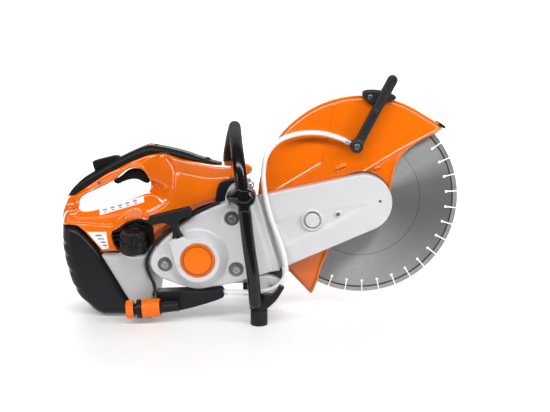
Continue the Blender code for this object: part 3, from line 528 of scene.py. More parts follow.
# ---------------------------------------------------------------- materials


class Shading:
    """A material's nodes, made one line at a time."""

    def __init__(self, name, colour, roughness, metallic=0.0):
        self.material = bpy.data.materials.new(name)
        self.material.use_nodes = True
        self.material.diffuse_color = (*colour, 1)
        self.tree = self.material.node_tree
        self.shader = self.tree.nodes["Principled BSDF"]
        self.put(Base_Color=(*colour, 1), Roughness=roughness, Metallic=metallic)
        self.place = self.tree.nodes.new("ShaderNodeTexCoord").outputs["Object"]
        self.normal = None

    def node(self, kind, **values):
        made = self.tree.nodes.new(kind)
        for key, value in values.items():
            setattr(made, key, value)
        return made

    def link(self, a, b):
        self.tree.links.new(a, b)

    def put(self, **values):
        """Sets the shader's inputs. An underscore in a name stands for a space."""
        for name, value in values.items():
            self.shader.inputs[name.replace("_", " ")].default_value = value

    def split(self, vector):
        made = self.node("ShaderNodeSeparateXYZ")
        self.link(vector, made.inputs["Vector"])
        return made.outputs

    def noise(self, size_mm, detail, place=None):
        """A noise with features about size_mm across."""
        made = self.node("ShaderNodeTexNoise")
        made.inputs["Scale"].default_value = 1000 / size_mm
        made.inputs["Detail"].default_value = detail
        self.link(place or self.place, made.inputs["Vector"])
        return made.outputs["Fac"]

    def mapped(self, value, low, high, to_low, to_high):
        made = self.node("ShaderNodeMapRange")
        for name, limit in (("From Min", low), ("From Max", high), ("To Min", to_low), ("To Max", to_high)):
            made.inputs[name].default_value = limit
        self.link(value, made.inputs["Value"])
        return made.outputs["Result"]

    def worked(self, operation, *values):
        made = self.node("ShaderNodeMath", operation=operation)
        for socket, value in zip(made.inputs, values):
            if isinstance(value, bpy.types.NodeSocket):
                self.link(value, socket)
            else:
                socket.default_value = value
        return made.outputs["Value"]

    def tinted(self, colour, factor):
        made = self.node("ShaderNodeVectorMath", operation="SCALE")
        made.inputs["Scale"].default_value = factor
        self.link(colour, made.inputs[0])
        return made.outputs["Vector"]

    def colour_between(self, value, first, second):
        made = self.node("ShaderNodeMix", data_type="RGBA")
        self.link(value, made.inputs["Factor"])
        for socket, colour in ((made.inputs[6], first), (made.inputs[7], second)):
            if isinstance(colour, bpy.types.NodeSocket):
                self.link(colour, socket)
            else:
                socket.default_value = (*colour, 1)
        return made.outputs[2]

    def bump(self, height, depth_mm, strength):
        made = self.node("ShaderNodeBump")
        made.inputs["Strength"].default_value = strength
        made.inputs["Distance"].default_value = depth_mm * MM
        self.link(height, made.inputs["Height"])
        if self.normal:
            self.link(self.normal, made.inputs["Normal"])
        self.normal = made.outputs["Normal"]
        self.link(self.normal, self.shader.inputs["Normal"])

    def colour(self, value):
        self.link(value, self.shader.inputs["Base Color"])

    def rough(self, value):
        self.link(value, self.shader.inputs["Roughness"])


def shade(colour, factor):
    return tuple(min(1.0, c * factor) for c in colour)


def plastic(name, colour, roughness, grain=0.0, coat=0.0, grain_mm=0.5, level=0.5, low_shade=1.0, coat_index=1.5):
    """Moulded or painted: a faint waviness, an optional grain, and a slight unevenness of tone and gloss.

    The colour can be darkened low down on the saw to a given share of itself: painted shade, darker towards the bottom.
    """
    s = Shading(name, colour, roughness)
    wide = s.noise(60, 3)
    fine = s.noise(4, 4)
    tone = s.colour_between(s.mapped(wide, 0.3, 0.7, 0, 1), shade(colour, 0.97), shade(colour, 1.02))
    if low_shade < 1:
        # Painted shade: the colour is darkened below 0.13 m up, and fully below 0.04 m.
        tone = s.colour_between(s.mapped(s.split(s.place)["Z"], 0.04, 0.13, 1, 0), tone, s.tinted(tone, low_shade))
    s.colour(tone)
    s.rough(s.mapped(fine, 0.3, 0.7, roughness * 0.92, roughness * 1.1))
    s.bump(wide, 0.25, 0.12)
    if grain:
        s.bump(s.noise(grain_mm, 1), grain, 0.6)
    if coat:
        s.put(Coat_Weight=coat, Coat_Roughness=0.04, Coat_IOR=coat_index)
    s.put(Specular_IOR_Level=level)
    return s.material


def metal(name, colour, roughness, grain_mm=0.6, depth=0.02):
    s = Shading(name, colour, roughness, 1.0)
    tone = s.noise(25, 4)
    s.colour(s.colour_between(s.mapped(tone, 0.3, 0.7, 0, 1), shade(colour, 0.85), shade(colour, 1.1)))
    fine = s.noise(grain_mm, 3)
    s.rough(s.mapped(fine, 0.3, 0.7, roughness * 0.75, roughness * 1.3))
    s.bump(fine, depth, 0.5)
    return s.material


def blade_steel(name, colour, roughness, centre):
    """Ground steel with fine rings about the centre, and a painted reflection: the colour is lighter and darker with
    the angle about the centre, with a painted highlight streak.
    """
    s = Shading(name, colour, roughness, 1.0)
    shift = s.node("ShaderNodeMapping")
    shift.inputs["Location"].default_value = (-centre[0] * MM, 0, -centre[1] * MM)
    s.link(s.place, shift.inputs["Vector"])
    split = s.split(shift.outputs["Vector"])
    flat = s.node("ShaderNodeCombineXYZ")
    s.link(split["X"], flat.inputs["X"])
    s.link(split["Z"], flat.inputs["Y"])
    length = s.node("ShaderNodeVectorMath", operation="LENGTH")
    s.link(flat.outputs["Vector"], length.inputs[0])
    angle = s.worked("ARCTAN2", split["Z"], split["X"])
    polar = s.node("ShaderNodeCombineXYZ")
    s.link(length.outputs["Value"], polar.inputs["X"])
    s.link(s.worked("MULTIPLY", angle, 0.012), polar.inputs["Y"])
    rings = s.noise(0.9, 4, place=polar.outputs["Vector"])
    speckle = s.noise(0.8, 2)
    wide = s.noise(70, 3)
    tone = s.colour_between(s.mapped(rings, 0.25, 0.75, 0, 1), shade(colour, 0.85), shade(colour, 1.12))
    tone = s.colour_between(s.mapped(wide, 0.3, 0.7, 0, 0.3), tone, shade(colour, 0.85))
    # Painted reflection: the colour goes lighter and darker twice around the centre, with a painted highlight streak
    # about 33 degrees up from forward.
    painted_sheen = s.worked("COSINE", s.worked("MULTIPLY_ADD", angle, 2.0, 0.28))
    painted_streak = s.worked("ABSOLUTE", s.worked("SUBTRACT", angle, 0.58))
    painted_streak = s.mapped(painted_streak, 0.0, 0.34, 0.85, 0.0)
    light = s.worked("ADD", s.mapped(painted_sheen, -1, 1, 1, 0), painted_streak)
    s.colour(s.colour_between(light, s.tinted(tone, 0.45), s.tinted(tone, 1.07)))
    s.rough(s.mapped(speckle, 0.3, 0.7, roughness * 0.8, roughness * 1.25))
    s.bump(rings, 0.02, 0.35)
    tangent = s.node("ShaderNodeTangent", direction_type="RADIAL", axis="Y")
    s.link(tangent.outputs["Tangent"], s.shader.inputs["Tangent"])
    s.put(Anisotropic=0.93, Anisotropic_Rotation=0.25)
    return s.material


def bar_finish():
    """Black lacquer on the handlebar, rubbed dull along the top where it is held."""
    s = Shading("gloss_black_bar", (0.004, 0.004, 0.005), 0.22)
    dull = s.mapped(s.split(s.place)["Z"], 0.29, 0.325, 0, 1)
    s.rough(s.mapped(dull, 0, 1, 0.22, 0.75))
    s.link(s.mapped(dull, 0, 1, 0.4, 0.0), s.shader.inputs["Coat Weight"])
    s.put(Coat_Roughness=0.05, Specular_IOR_Level=0.2)
    s.bump(s.noise(60, 3), 0.25, 0.1)
    return s.material


ORANGE_TONE = (0.86, 0.155, 0.0)
M = {}
PLASTICS = {
    "orange": ("orange_moulding", ORANGE_TONE, 0.22, {"coat": 1.0, "level": 0.2, "coat_index": 1.7}),
    # The guard's colour is darkened low down as painted shade.
    "guard": ("orange_guard", ORANGE_TONE, 0.22, {"coat": 1.0, "level": 0.2, "low_shade": 0.6}),
    "orange_small": ("orange_fitting", (0.83, 0.15, 0.0), 0.34, {"grain": 0.01, "coat": 0.1, "level": 0.3}),
    "white": ("white_cover", (0.58, 0.58, 0.595), 0.36, {"grain": 0.006, "coat": 0.2}),
    # The same white plastic as the starter cover, made lighter for the arm's covers: painted light.
    "white_arm": ("white_arm_cover", (0.61, 0.61, 0.625), 0.36, {"grain": 0.006, "coat": 0.3}),
    "tank": ("white_tank", (0.43, 0.43, 0.44), 0.42, {"grain": 0.012}),
    "black": ("black_moulding", (0.007, 0.007, 0.008), 0.42, {"grain": 0.03, "grain_mm": 0.9, "level": 0.2}),
    "black_smooth": ("black_satin", (0.008, 0.008, 0.0095), 0.34, {"grain": 0.01, "level": 0.25}),
    "rubber": ("black_rubber", (0.009, 0.009, 0.010), 0.5, {"grain": 0.03, "grain_mm": 0.7, "level": 0.25}),
    "tube": ("gloss_black_tube", (0.004, 0.004, 0.005), 0.22, {"coat": 0.35, "level": 0.25}),
    "hose": ("white_hose", (0.80, 0.81, 0.82), 0.3, {"coat": 0.2}),
    "grey": ("dark_grey_coating", (0.017, 0.017, 0.019), 0.42, {"grain": 0.05, "grain_mm": 0.8, "level": 0.35}),
    "dark_cast": ("dark_casting", (0.06, 0.06, 0.065), 0.5, {"grain": 0.08, "grain_mm": 1.0}),
    # Dark joints and print marks, and also the painted shadow sheet by the foot casting.
    "groove": ("dark_groove", (0.02, 0.02, 0.02), 0.7, {}),
    "peach": ("peach_switch", (0.9, 0.42, 0.16), 0.45, {}),
    "cast_grey": ("pale_grey_casting", (0.5, 0.51, 0.52), 0.45, {"grain": 0.02, "grain_mm": 0.8}),
    "label": ("plain_label", (0.86, 0.86, 0.85), 0.32, {}),
    "ink": ("label_marks", (0.16, 0.16, 0.17), 0.45, {}),
    "rope": ("braided_rope", (0.03, 0.03, 0.03), 0.75, {"grain": 0.2, "grain_mm": 1.2}),
    "paper": ("filter_paper", (0.62, 0.52, 0.3), 0.9, {"grain": 0.1, "grain_mm": 2}),
}
METALS = {
    "steel": ("machined_steel", (0.56, 0.57, 0.58), 0.28),
    "zinc": ("zinc_screw", (0.5, 0.5, 0.49), 0.26, 0.4),
    "washer": ("dark_washer", (0.24, 0.24, 0.245), 0.36, 0.6),
    "cast": ("cast_alloy", (0.56, 0.56, 0.57), 0.5, 0.9, 0.12),
    "segment": ("sintered_segment", (0.40, 0.40, 0.40), 0.52, 0.5, 0.08),
}


def make_materials():
    for name, (*look, more) in PLASTICS.items():
        M[name] = plastic(*look, **more)
    for name, look in METALS.items():
        M[name] = metal(*look)
    M["bar"] = bar_finish()
    M["blade"] = blade_steel("ground_steel_blade", (0.38, 0.382, 0.385), 0.42, SPINDLE)


# ---------------------------------------------------------------- camera, light and floor


def look_at(obj, target):
    away = Vector(target) - obj.location
    obj.rotation_euler = away.to_track_quat("-Z", "Y").to_euler()


def area(name, place, target, size, power):
    data = bpy.data.lights.new(name, "AREA")
    data.shape = "RECTANGLE"
    data.size, data.size_y = size
    data.energy = power
    obj = bpy.data.objects.new(name, data)
    obj.location = place
    look_at(obj, target)
    bpy.context.scene.collection.objects.link(obj)


def make_studio():
    data = bpy.data.cameras.new("camera")
    data.lens = 71.86
    camera = bpy.data.objects.new("camera", data)
    rise = math.radians(10)
    target = Vector((0.028, 0, 0.1929))
    camera.location = target + Vector((0, -2 * math.cos(rise), 2 * math.sin(rise)))  # two metres away
    look_at(camera, target)
    bpy.context.scene.collection.objects.link(camera)
    bpy.context.scene.camera = camera
    # The camera sees a white world, which lights the saw only faintly.
    world = bpy.data.worlds.new("studio")
    world.use_nodes = True
    tree = world.node_tree
    plain = tree.nodes["Background"]
    plain.inputs["Strength"].default_value = 0.07
    seen = tree.nodes.new("ShaderNodeBackground")
    for background in (plain, seen):
        background.inputs["Color"].default_value = (1, 1, 1, 1)
    ray = tree.nodes.new("ShaderNodeLightPath")
    mix = tree.nodes.new("ShaderNodeMixShader")
    tree.links.new(ray.outputs["Is Camera Ray"], mix.inputs["Fac"])
    tree.links.new(plain.outputs["Background"], mix.inputs[1])
    tree.links.new(seen.outputs["Background"], mix.inputs[2])
    tree.links.new(mix.outputs["Shader"], tree.nodes["World Output"].inputs["Surface"])
    bpy.context.scene.world = world
    bpy.context.scene.view_settings.view_transform = "Standard"
    middle = (0, 0, 0.2)
    area("front_top", (0.0, -1.5, 1.35), middle, (4.2, 0.36), 54)
    area("side_left", (-1.9, -1.2, 0.2), middle, (0.3, 0.36), 3)
    area("side_right", (1.9, -1.2, 0.95), middle, (0.25, 0.6), 14)
    area("top_back", (0.0, 1.5, 1.35), middle, (2.2, 0.4), 9)
    area("backdrop", (0.0, 0.7, 1.5), (0, 2.3, 0.4), (2.5, 0.5), 46)
    s = Shading("pale_floor", (0.9, 0.9, 0.9), 0.5)
    s.colour(s.colour_between(s.noise(120, 2), (0.89, 0.89, 0.89), (0.91, 0.91, 0.91)))
    s.rough(s.mapped(s.noise(300, 3), 0.3, 0.7, 0.42, 0.55))
    s.put(Emission_Color=(1, 1, 1, 1), Emission_Strength=0.17)
    profile = [(y, 0.0) for y in (-0.58, 0.0, 0.5, 1.4)]
    profile += [(1.4 + 1.2 * math.sin(a), 1.2 - 1.2 * math.cos(a)) for a in np.radians(range(10, 91, 10))]
    profile += [(2.6, 2.2), (2.6, 4.0)]
    verts = [(x, y, z) for y, z in profile for x in (-4.0, 4.0)]
    faces = [(i, i + 1, i + 3, i + 2) for i in range(0, len(verts) - 2, 2)]
    mesh = bpy.data.meshes.new("floor")
    mesh.from_pydata(verts, [], faces)
    mesh.materials.append(s.material)
    mesh.polygons.foreach_set("use_smooth", np.ones(len(mesh.polygons), bool))
    floor = bpy.data.objects.new("floor", mesh)
    bpy.context.scene.collection.objects.link(floor)


# ---------------------------------------------------------------- blade and guard


SLOT_PITCH = 360 / SLOTS
FIRST_SLOT = 4
CORE_R = 166.0
CORE_HALF = 1.1
HALF_GAP = math.degrees(1.0 / BLADE_R)
HOLE_R = BLADE_R - 19.5


def blade_outline():
    """The core's edge, with a keyhole slot between each pair of segments."""
    made = []
    for i in range(SLOTS):
        middle = FIRST_SLOT + i * SLOT_PITCH
        made.append(arc(SPINDLE, CORE_R, middle - SLOT_PITCH + HALF_GAP, middle - HALF_GAP, 6))
        angle = math.radians(middle)
        hole = (SPINDLE[0] + HOLE_R * math.cos(angle), SPINDLE[1] + HOLE_R * math.sin(angle))
        made.append(arc(hole, 2.5, middle - 26, middle - 334, 9))
    return np.concatenate(made)


def make_blade():
    core = plate([blade_outline(), ring(SPINDLE, 10, 48)], (-CORE_HALF, CORE_HALF))
    weighted(piece("blade_core", core, M["blade"], "wheel", ["blade"]))
    section = [
        (166.4, -1.1), (167.4, -1.5), (174.7, -1.5), (175, -1.2), (175, 1.2), (174.7, 1.5), (167.4, 1.5), (166.4, 1.1),
    ]
    count, steps = len(section), 6
    points, faces = [], []
    for i in range(SLOTS):
        middle = FIRST_SLOT + (i + 0.5) * SLOT_PITCH
        half = SLOT_PITCH / 2 - HALF_GAP
        base = len(points)
        for k in range(steps + 1):
            a = math.radians(middle - half + 2 * half * k / steps)
            points += [(SPINDLE[0] + r * math.cos(a), y, SPINDLE[1] + r * math.sin(a)) for r, y in section]
        faces += [tuple(base + n for n in face) for face in between_rings(steps + 1, count)]
        last = base + steps * count
        faces += [tuple(range(base, base + count)), tuple(range(last, last + count))[::-1]]
    piece("blade_segments", built(points, faces), M["segment"], "wheel", smooth=30)
    line = lathe_y([(164.6, -1.4), (167.2, -1.6), (167.2, 1.6), (164.6, 1.4)], SPINDLE, SLOTS * 6, hollow=True)
    points, faces = [], []
    for i in range(SLOTS):
        a = math.radians(FIRST_SLOT + i * SLOT_PITCH)
        along, across = np.array((math.cos(a), math.sin(a))), np.array((-math.sin(a), math.cos(a)))
        base = len(points)
        for y in (-3, 3):
            for r, s in ((158, -1.1), (171, -1.1), (171, 1.1), (158, 1.1)):
                x, z = np.array(SPINDLE) + along * r + across * s
                points.append((x, y, z))
        ends = [(0, 1, 2, 3), (7, 6, 5, 4)]
        faces += [tuple(base + n for n in face) for face in ends + between_rings(2, 4)]
    cut = combined(line, cuts=[built(points, faces)])
    piece("blade_joint_line", cut, M["groove"], "wheel")
    mark = lathe_y([(106.6, -1.16), (107.3, -1.16), (107.3, -1.05), (106.6, -1.05)], SPINDLE, 180, hollow=True)
    piece("blade_ring_mark", mark, M["groove"], "wheel")
    flange = softened([(10.1, 2), (34, 2), (34, 5), (30, 6.2), (16, 8), (10.1, 8)], 0.6, closed=True)
    piece("outer_clamp_flange", lathe_y(flange, SPINDLE, hollow=True), M["steel"], "wheel", ["outer_flange"])
    nut = plate([ring(SPINDLE, 15.5, 6), ring(SPINDLE, 9.9, 32)], (8.3, 17))
    piece("clamp_nut", combined(nut, bevel=0.7), M["zinc"], "wheel", ["spindle_nut"])
    inner = [(9.9, -1.6), (34, -1.6), (34, -6), (14, -9.5), (10, -9.5), (10, -46), (9.9, -46)]
    inner = softened(inner, 0.5, closed=True)
    end = softened([(0, 22), (7.5, 22), (9, 20.5), (9.7, 19), (9.7, -50), (0, -50)], 0.4)
    piece("spindle_shaft", lathe_y(end, SPINDLE, 48), M["steel"], "wheel", ["spindle"])
    piece("inner_clamp_flange", lathe_y(inner[:-2], SPINDLE, hollow=True), M["steel"], "wheel")


GUARD_FREE = [
    (105, 60, 0), (112, 86), (124, 116), (137, 158), (150, 172), (168, 163), (192, 160), (218, 173), (234, 203),
    (236, 238), (244, 272), (260, 296), (287, 317), (314, 329, 0),
]


def guard_rim(inwards):
    """The wheel guard's outer edge from its front tip over the top to its rear tip."""
    radius = 187 - inwards
    front = np.array([[330 - 0.5 * inwards, 339 - 0.87 * inwards]])
    rear = np.array([[97 + 0.8 * inwards, 29 + 0.6 * inwards]])
    return np.concatenate([front, arc(SPINDLE, radius, 57, 226, 90), rear])


def tilted(x, z, degrees):
    """How far a place is along and across a direction at that angle, seen from the side."""
    c, s = math.cos(math.radians(degrees)), math.sin(math.radians(degrees))
    return x * c + z * s, -x * s + z * c


def line_side(space, start, end):
    """The signed distance to a straight line seen from the side, positive on its left."""
    a, b = np.array(start, float), np.array(end, float)
    along = (b - a) / np.linalg.norm(b - a)
    return (space.x - a[0]) * -along[1] + (space.z - a[1]) * along[0]


def make_guard():
    """A deep sheet cover with a rolled rim, open at the front and below, and wide open on the far side."""
    wall = 28  # from the blade's plane to either side of the cover
    thick = 2.8
    space = Space((-6, -33.5, 26), (334, 30.5, 399), 1.55)
    beyond = np.array([(130, -40), (330, -40), (460, 120), (420, 300)], float)
    rim = space.side(np.concatenate([guard_rim(0), beyond]))
    free = loop([*GUARD_FREE, (330, 339, 0)], 4)
    free = free[: np.argmin(np.hypot(*(free - GUARD_FREE[-1][:2]).T)) + 1]
    side = space.side(np.concatenate([guard_rim(-8), free]))
    crease = np.maximum(line_side(space, (250, 296), (318, 338)), line_side(space, (171, 254), (250, 296)))
    near = -wall + 1.9 * ease((0.6 - crease) / 3) - 1.8 * np.exp(-(((crease - 2.4) / 2.4) ** 2))
    fold = np.minimum(line_side(space, (111, 277), (135, 384)), line_side(space, (27, 226), (111, 277)))
    near = near + 0.9 * ease((fold + 1) / 3) - 0.9 * np.exp(-(((fold + 2) / 2.0) ** 2))
    outer = both(rim, (near - space.y) * slope_fix(near, space.step), 10)
    outer = both(outer, both(rim, space.y - wall, 10))
    inner = both(rim + thick, space.between(-24.0, wall - thick), 7.5)
    shell = both(less(outer, inner), side, 0.7)
    bead = np.sqrt((side + 1.9) ** 2 + (space.y + 26.2) ** 2) - 2.3
    shell = either(shell, both(bead, rim + 6), 0.8)
    for centre, length, wide, turn in (((145, 267), 11, 5, 28), ((149, 317), 10, 2.6, 5), ((210, 266), 7, 3.4, 25)):
        u, v = tilted(space.x - centre[0], space.z - centre[1], turn)
        lump = (np.sqrt((u / length) ** 2 + (v / wide) ** 2 + ((space.y + 27) / 4.5) ** 2) - 1) * wide
        shell = either(shell, lump, 0.8)
        slot = (np.sqrt((u / length / 0.85) ** 2 + ((v + wide * 0.55) / (wide * 0.3)) ** 2) - 1) * wide * 0.3
        shell = less(shell, both(slot, space.between(-40, -25.4)), 0.3)
    shell = less(shell, both(space.disc(SPINDLE, 25), space.y), 0.5)
    shell = less(shell, both(space.disc(SPINDLE, 118), 15 - space.y), 0.8)
    moulded("guard_shell", space, shell, M["guard"], "wheel_guard", ["wheel_guard"])
    lip = loop([(318, 343.5, 0), (326.5, 338, 0), (329.8, 337.4), (330.2, 341), (323, 346.2), (320, 347.2, 0)], 2)
    slab("guard_tip_rubber", lip, (-29, 20.5), 1.0, M["rubber"], "wheel_guard", ["guard_tip"], 50)


LEVER_FOOT = (172.0, 308.0)
LEVER_TOP = (232.7, 424.3)


def make_guard_lever():
    foot, top = np.array(LEVER_FOOT), np.array(LEVER_TOP)
    reach = float(np.linalg.norm(top - foot))
    angle = math.atan2(top[1] - foot[1], top[0] - foot[0])
    space = Space((-13, -58, -13), (reach + 10, -27.5, 13), 0.75)

    def capsule(start, end, radius):
        """The distance to a bar with round ends along the lever."""
        u = np.clip(space.x, start, end)
        return np.sqrt((space.x - u) ** 2 + space.z**2) - radius

    wide = 8.4 + 0.6 * ease((space.x - 60) / 60)
    bar = both(capsule(0, reach, 0) - wide, space.between(-54, -41), 3.2)
    bar = less(bar, both(capsule(24, 60, 3.4), space.between(-60, -51.8)), 1.2)
    bar = less(bar, both(capsule(76, reach - 4, 3.6), space.between(-60, -52.4)), 1.2)
    bar = either(bar, both(space.disc((0, 0), 11.4), space.between(-55.5, -28.4), 2.2), 2)
    bar = less(bar, both(space.disc((0, 0), 6.2), space.between(-60, -53.2)), 0.8)
    points, faces = surface(space, bar)
    c, s = math.cos(angle), math.sin(angle)
    x, y, z = points.T
    points = np.stack([foot[0] + x * c - z * s, y, foot[1] + x * s + z * c], 1)
    piece("lever_bar", mesh_of(points, faces), M["grey"], "wheel_guard", ["guard_handle"], 180)
    screw_head("lever_screw", LEVER_FOOT, -53, 5.2, 3.2, "wheel_guard")
    space = Space((176, -43, 376), (246, -27.5, 410), 0.9)
    saddle = [(181, 402), (188, 406.5), (212, 406), (238, 397.5), (241, 391), (224, 383), (200, 379.5), (186, 389)]
    saddle = both(space.side(loop(saddle)), space.between(-40.5, -28.3), 4)
    saddle = less(saddle, both(space.disc((195, 394), 6), space.between(-50, -38.6)), 0.8)
    moulded("lever_saddle", space, saddle, M["grey"], "wheel_guard", ["guard_saddle"])
    screw_head("saddle_screw", (195, 394), -38.8, 4.2, 2.2, "wheel_guard")
    start = np.array((152.0, -46.0, 318.0))
    axis = np.array((LEVER_FOOT[0] - 10, -46, LEVER_FOOT[1] + 5)) - start
    barb = softened([(0, 9.5), (5, 9.5), (5, 6), (6.2, 5), (6.2, 3.4), (5.6, 3), (6.2, 2.6), (6.2, 0.3), (0, 0.3)], 0.3)
    piece("hose_union", lathe(barb, start, axis, 48), M["cast"], "wheel_guard", ["hose_fitting"])


def screw_head(name, at, y, radius, height, body="machine", material=None):
    """A round screw head with a hexagon socket, standing towards -Y on the plane y."""
    head = lathe_y(softened([(0, y + 1.5), (radius, y + 1.5), (radius, y - height), (0, y - height)], 0.7), at, 40)
    socket = plate([ring(at, radius * 0.48, 6, 15)], (y - height - 2, y - height * 0.35))
    weighted(piece(name, combined(head, cuts=[socket]), material or M["zinc"], body))


# ---------------------------------------------------------------- orange housings

SPINE = [(-334, 216), (-323, 223), (-299, 239), (-277, 253), (-256, 263), (-235, 274), (-216, 282), (-198, 288)]
JOINT_OVERLAP = 1.6
SHROUD_TOP = [(-138, 281), (-106, 275), (-83, 271)]
PARTING = [(-157, 217), (-150, 236), (-149, 262), (-156, 276)]
HAND_HOLE = [
    (-325, 200), (-321, 211), (-312, 217), (-292, 226), (-263, 241), (-251, 251), (-240, 260), (-230, 264),
    (-218, 264), (-208, 258), (-200, 247), (-196, 234), (-198, 223), (-211, 214), (-247, 201), (-289, 188),
    (-306, 185), (-317, 187),
]
WIDE = [
    (-356.2, 168, 0), (-352.6, 184), (-342, 193), (-300, 189), (-262, 196), (-205, 210), (-182, 214), (-160, 218, 0),
    (-174, 202, 0), (-197, 188, 0), (-197, 122, 0), (-284, 119, 0), (-306, 141), (-332.5, 165), (-348.5, 168, 0),
]
SURROUND = [
    (-261, 155), (-251, 161), (-236, 171), (-217, 177), (-202, 177), (-193, 173), (-189, 163), (-189, 148),
    (-192, 131), (-200, 124, 0), (-252, 124, 0), (-259, 138),
]
CAP_TILT = math.radians(10)
CAP_BASE = np.array((-222.0, -70.0, 124.0))
CAP_AXIS = np.array((0, -math.sin(CAP_TILT), math.cos(CAP_TILT)))


def housings(space):
    """The rear handle and the engine shroud as one soft form, how far each point is in front of their joint, and the
    distance to the hand opening."""
    handle = loop(
        [
            (-356, 168, 0), (-355.2, 182), (-351.5, 198), (-345, 211), *SPINE, (-172, 291, 0), *PARTING[::-1],
            (-171, 201), (-197, 187, 0), (-197, 150, 0), (-320, 150, 0), (-350, 168, 0),
        ]
    )
    shroud = loop(
        [
            (-172, 291, 0), *SHROUD_TOP, (-60, 270), (-44, 271), (-24, 272), (-13, 265), (-15, 256), (-24, 250, 0),
            (-49, 250), (-60, 247), (-68, 241), (-72, 229), (-75, 209, 0), (-92, 204), (-108, 198), (-130, 184),
            (-152, 168), (-172, 146), (-188, 129, 0), (-194, 128, 0), (-196, 133, 0), (-196, 187, 0), (-171, 201),
            *PARTING,
        ]
    )
    face = loop(
        [
            (-194, 150, 0), (-194, 190, 0), (-171, 203, 0), (-157, 219), (-150, 236), (-149, 264, 0), (-125, 260),
            (-96, 254), (-69, 254), (-50, 257, 0), (-50, 225, 0), (-74, 220), (-99, 213), (-121, 204), (-150, 184),
            (-172, 162, 0),
        ]
    )
    post = loop([(-330, 150, 0), (-331, 214, 0), (-196, 262, 0), (-173, 292, 0), (-150, 292, 0), (-150, 150, 0)])
    panel = loop(
        [
            (-370, 172, 0), (-331, 172), (-275, 169), (-262, 169), (-257, 175), (-250, 182), (-239, 190),
            (-226, 196), (-217, 198), (-211, 196), (-207, 191), (-206, 182), (-190, 180, 0), (-190, 100, 0),
            (-370, 100, 0),
        ]
    )
    # The hand opening climbs away from the middle plane and narrows towards the near side.
    rise = -(space.y + 10) * np.where(space.y < -10, 0.176, 0.13 * ease((243 - space.z) / 48))
    hole = bent(space, loop(HAND_HOLE), 0, rise)
    brow = loop(
        [
            (-338, 186, 0), (-330, 197), (-316, 199), (-300, 200), (-286, 201), (-262, 206), (-240, 212), (-222, 218),
            (-208, 222), (-195, 224), (-180, 221), (-165, 208, 0), (-165, 190, 0), (-330, 180, 0),
        ]
    )
    right, up = rear_round(space)
    handle_side, wide_side = bent(space, handle, right, up), bent(space, loop(WIDE), right, up)
    shroud_side = space.side(shroud)
    whole = np.minimum(handle_side, shroud_side)
    outside = space.side(face)
    dx, dz = np.gradient(outside[:, 0, :], space.step)
    lean = (
        0.7 * np.minimum(dx, 0) ** 2 + 1.6 * np.maximum(dx, 0) ** 2 + 1.9 * np.maximum(dz, 0) ** 2
        + 0.9 * np.minimum(dz, 0) ** 2
    )[:, None, :]
    fall = 0.5 * (outside + np.sqrt(outside**2 + 14)) * lean
    edge = 5 * ease(space.side(post) / 2.5)
    ridge = 1.0 * np.exp(-((outside / 1.8) ** 2)) * ease((-52 - space.x) / 8)
    near = np.minimum(-59.5 + fall - ridge + 0.07 * np.maximum(space.z - 235, -12), -17 + edge)
    far = np.maximum(74 - fall, 33 - edge)
    body = both(less(whole, hole), (near - space.y) * slope_fix(near, space.step), 3.5)
    body = both(body, (space.y - far) * slope_fix(far, space.step), 3.5)
    wide = both(wide_side, space.between(-54, 70), 9)
    wide = either(wide, both(bent(space, brow, right, up), space.between(-54, -8), 4.5), 4)
    raised = both(both(bent(space, panel, right, up), wide_side + 1), space.between(-59, 73), 4)
    body = either(either(body, wide, 10), raised, 1.5)
    # A rounded lip follows the opening, which is then cut through everything.
    lip = np.sqrt((hole - 3.5) ** 2 + (space.y + 12.5) ** 2) - 3
    body = either(body, both(lip, np.minimum(handle_side, 40 - hole)), 2.5)
    body = less(body, hole, 1.5)
    slot = [(-269, 228, 0), (-269, 250), (-243, 268), (-225, 271), (-205, 267), (-194, 252), (-194, 228, 0)]
    slot = space.side(loop(slot))
    body = less(body, both(slot, space.between(-0.5, 16.5)))
    pocket = both(space.side(loop(SURROUND)) - 0.8, space.between(-90, -35.5))
    body = less(body, pocket, 1.2)
    body = less(body, space.rod(CAP_BASE - CAP_AXIS * 20, CAP_BASE + CAP_AXIS * 110, 26), 1.5)
    for x, z, low, high in ((-289, 238, -30, -9.5), (-277, 177, -70, -54)):
        body = less(body, space.rod((x, low, z), (x, high, z), 3.6), 0.8)
    return body, (np.minimum(handle_side, wide_side) - shroud_side) * 0.5, hole


def make_housings():
    space = Space((-361, -62, 114), (-9, 78, 296), 1.35)
    body, split, _ = housings(space)
    # The handle's last bit slides under the shroud.
    under = both(body + 0.25 * ease((split + JOINT_OVERLAP) / JOINT_OVERLAP), split - JOINT_OVERLAP)
    moulded("rear_handle_shell", space, under, M["orange"], "machine", ["rear_handle"])
    moulded("engine_shroud_shell", space, both(body, -split), M["orange"], "machine", ["engine_shroud"])
    screw_head("handle_screw", (-289, 238), -10.2, 2.8, 1.2)
    make_labels()


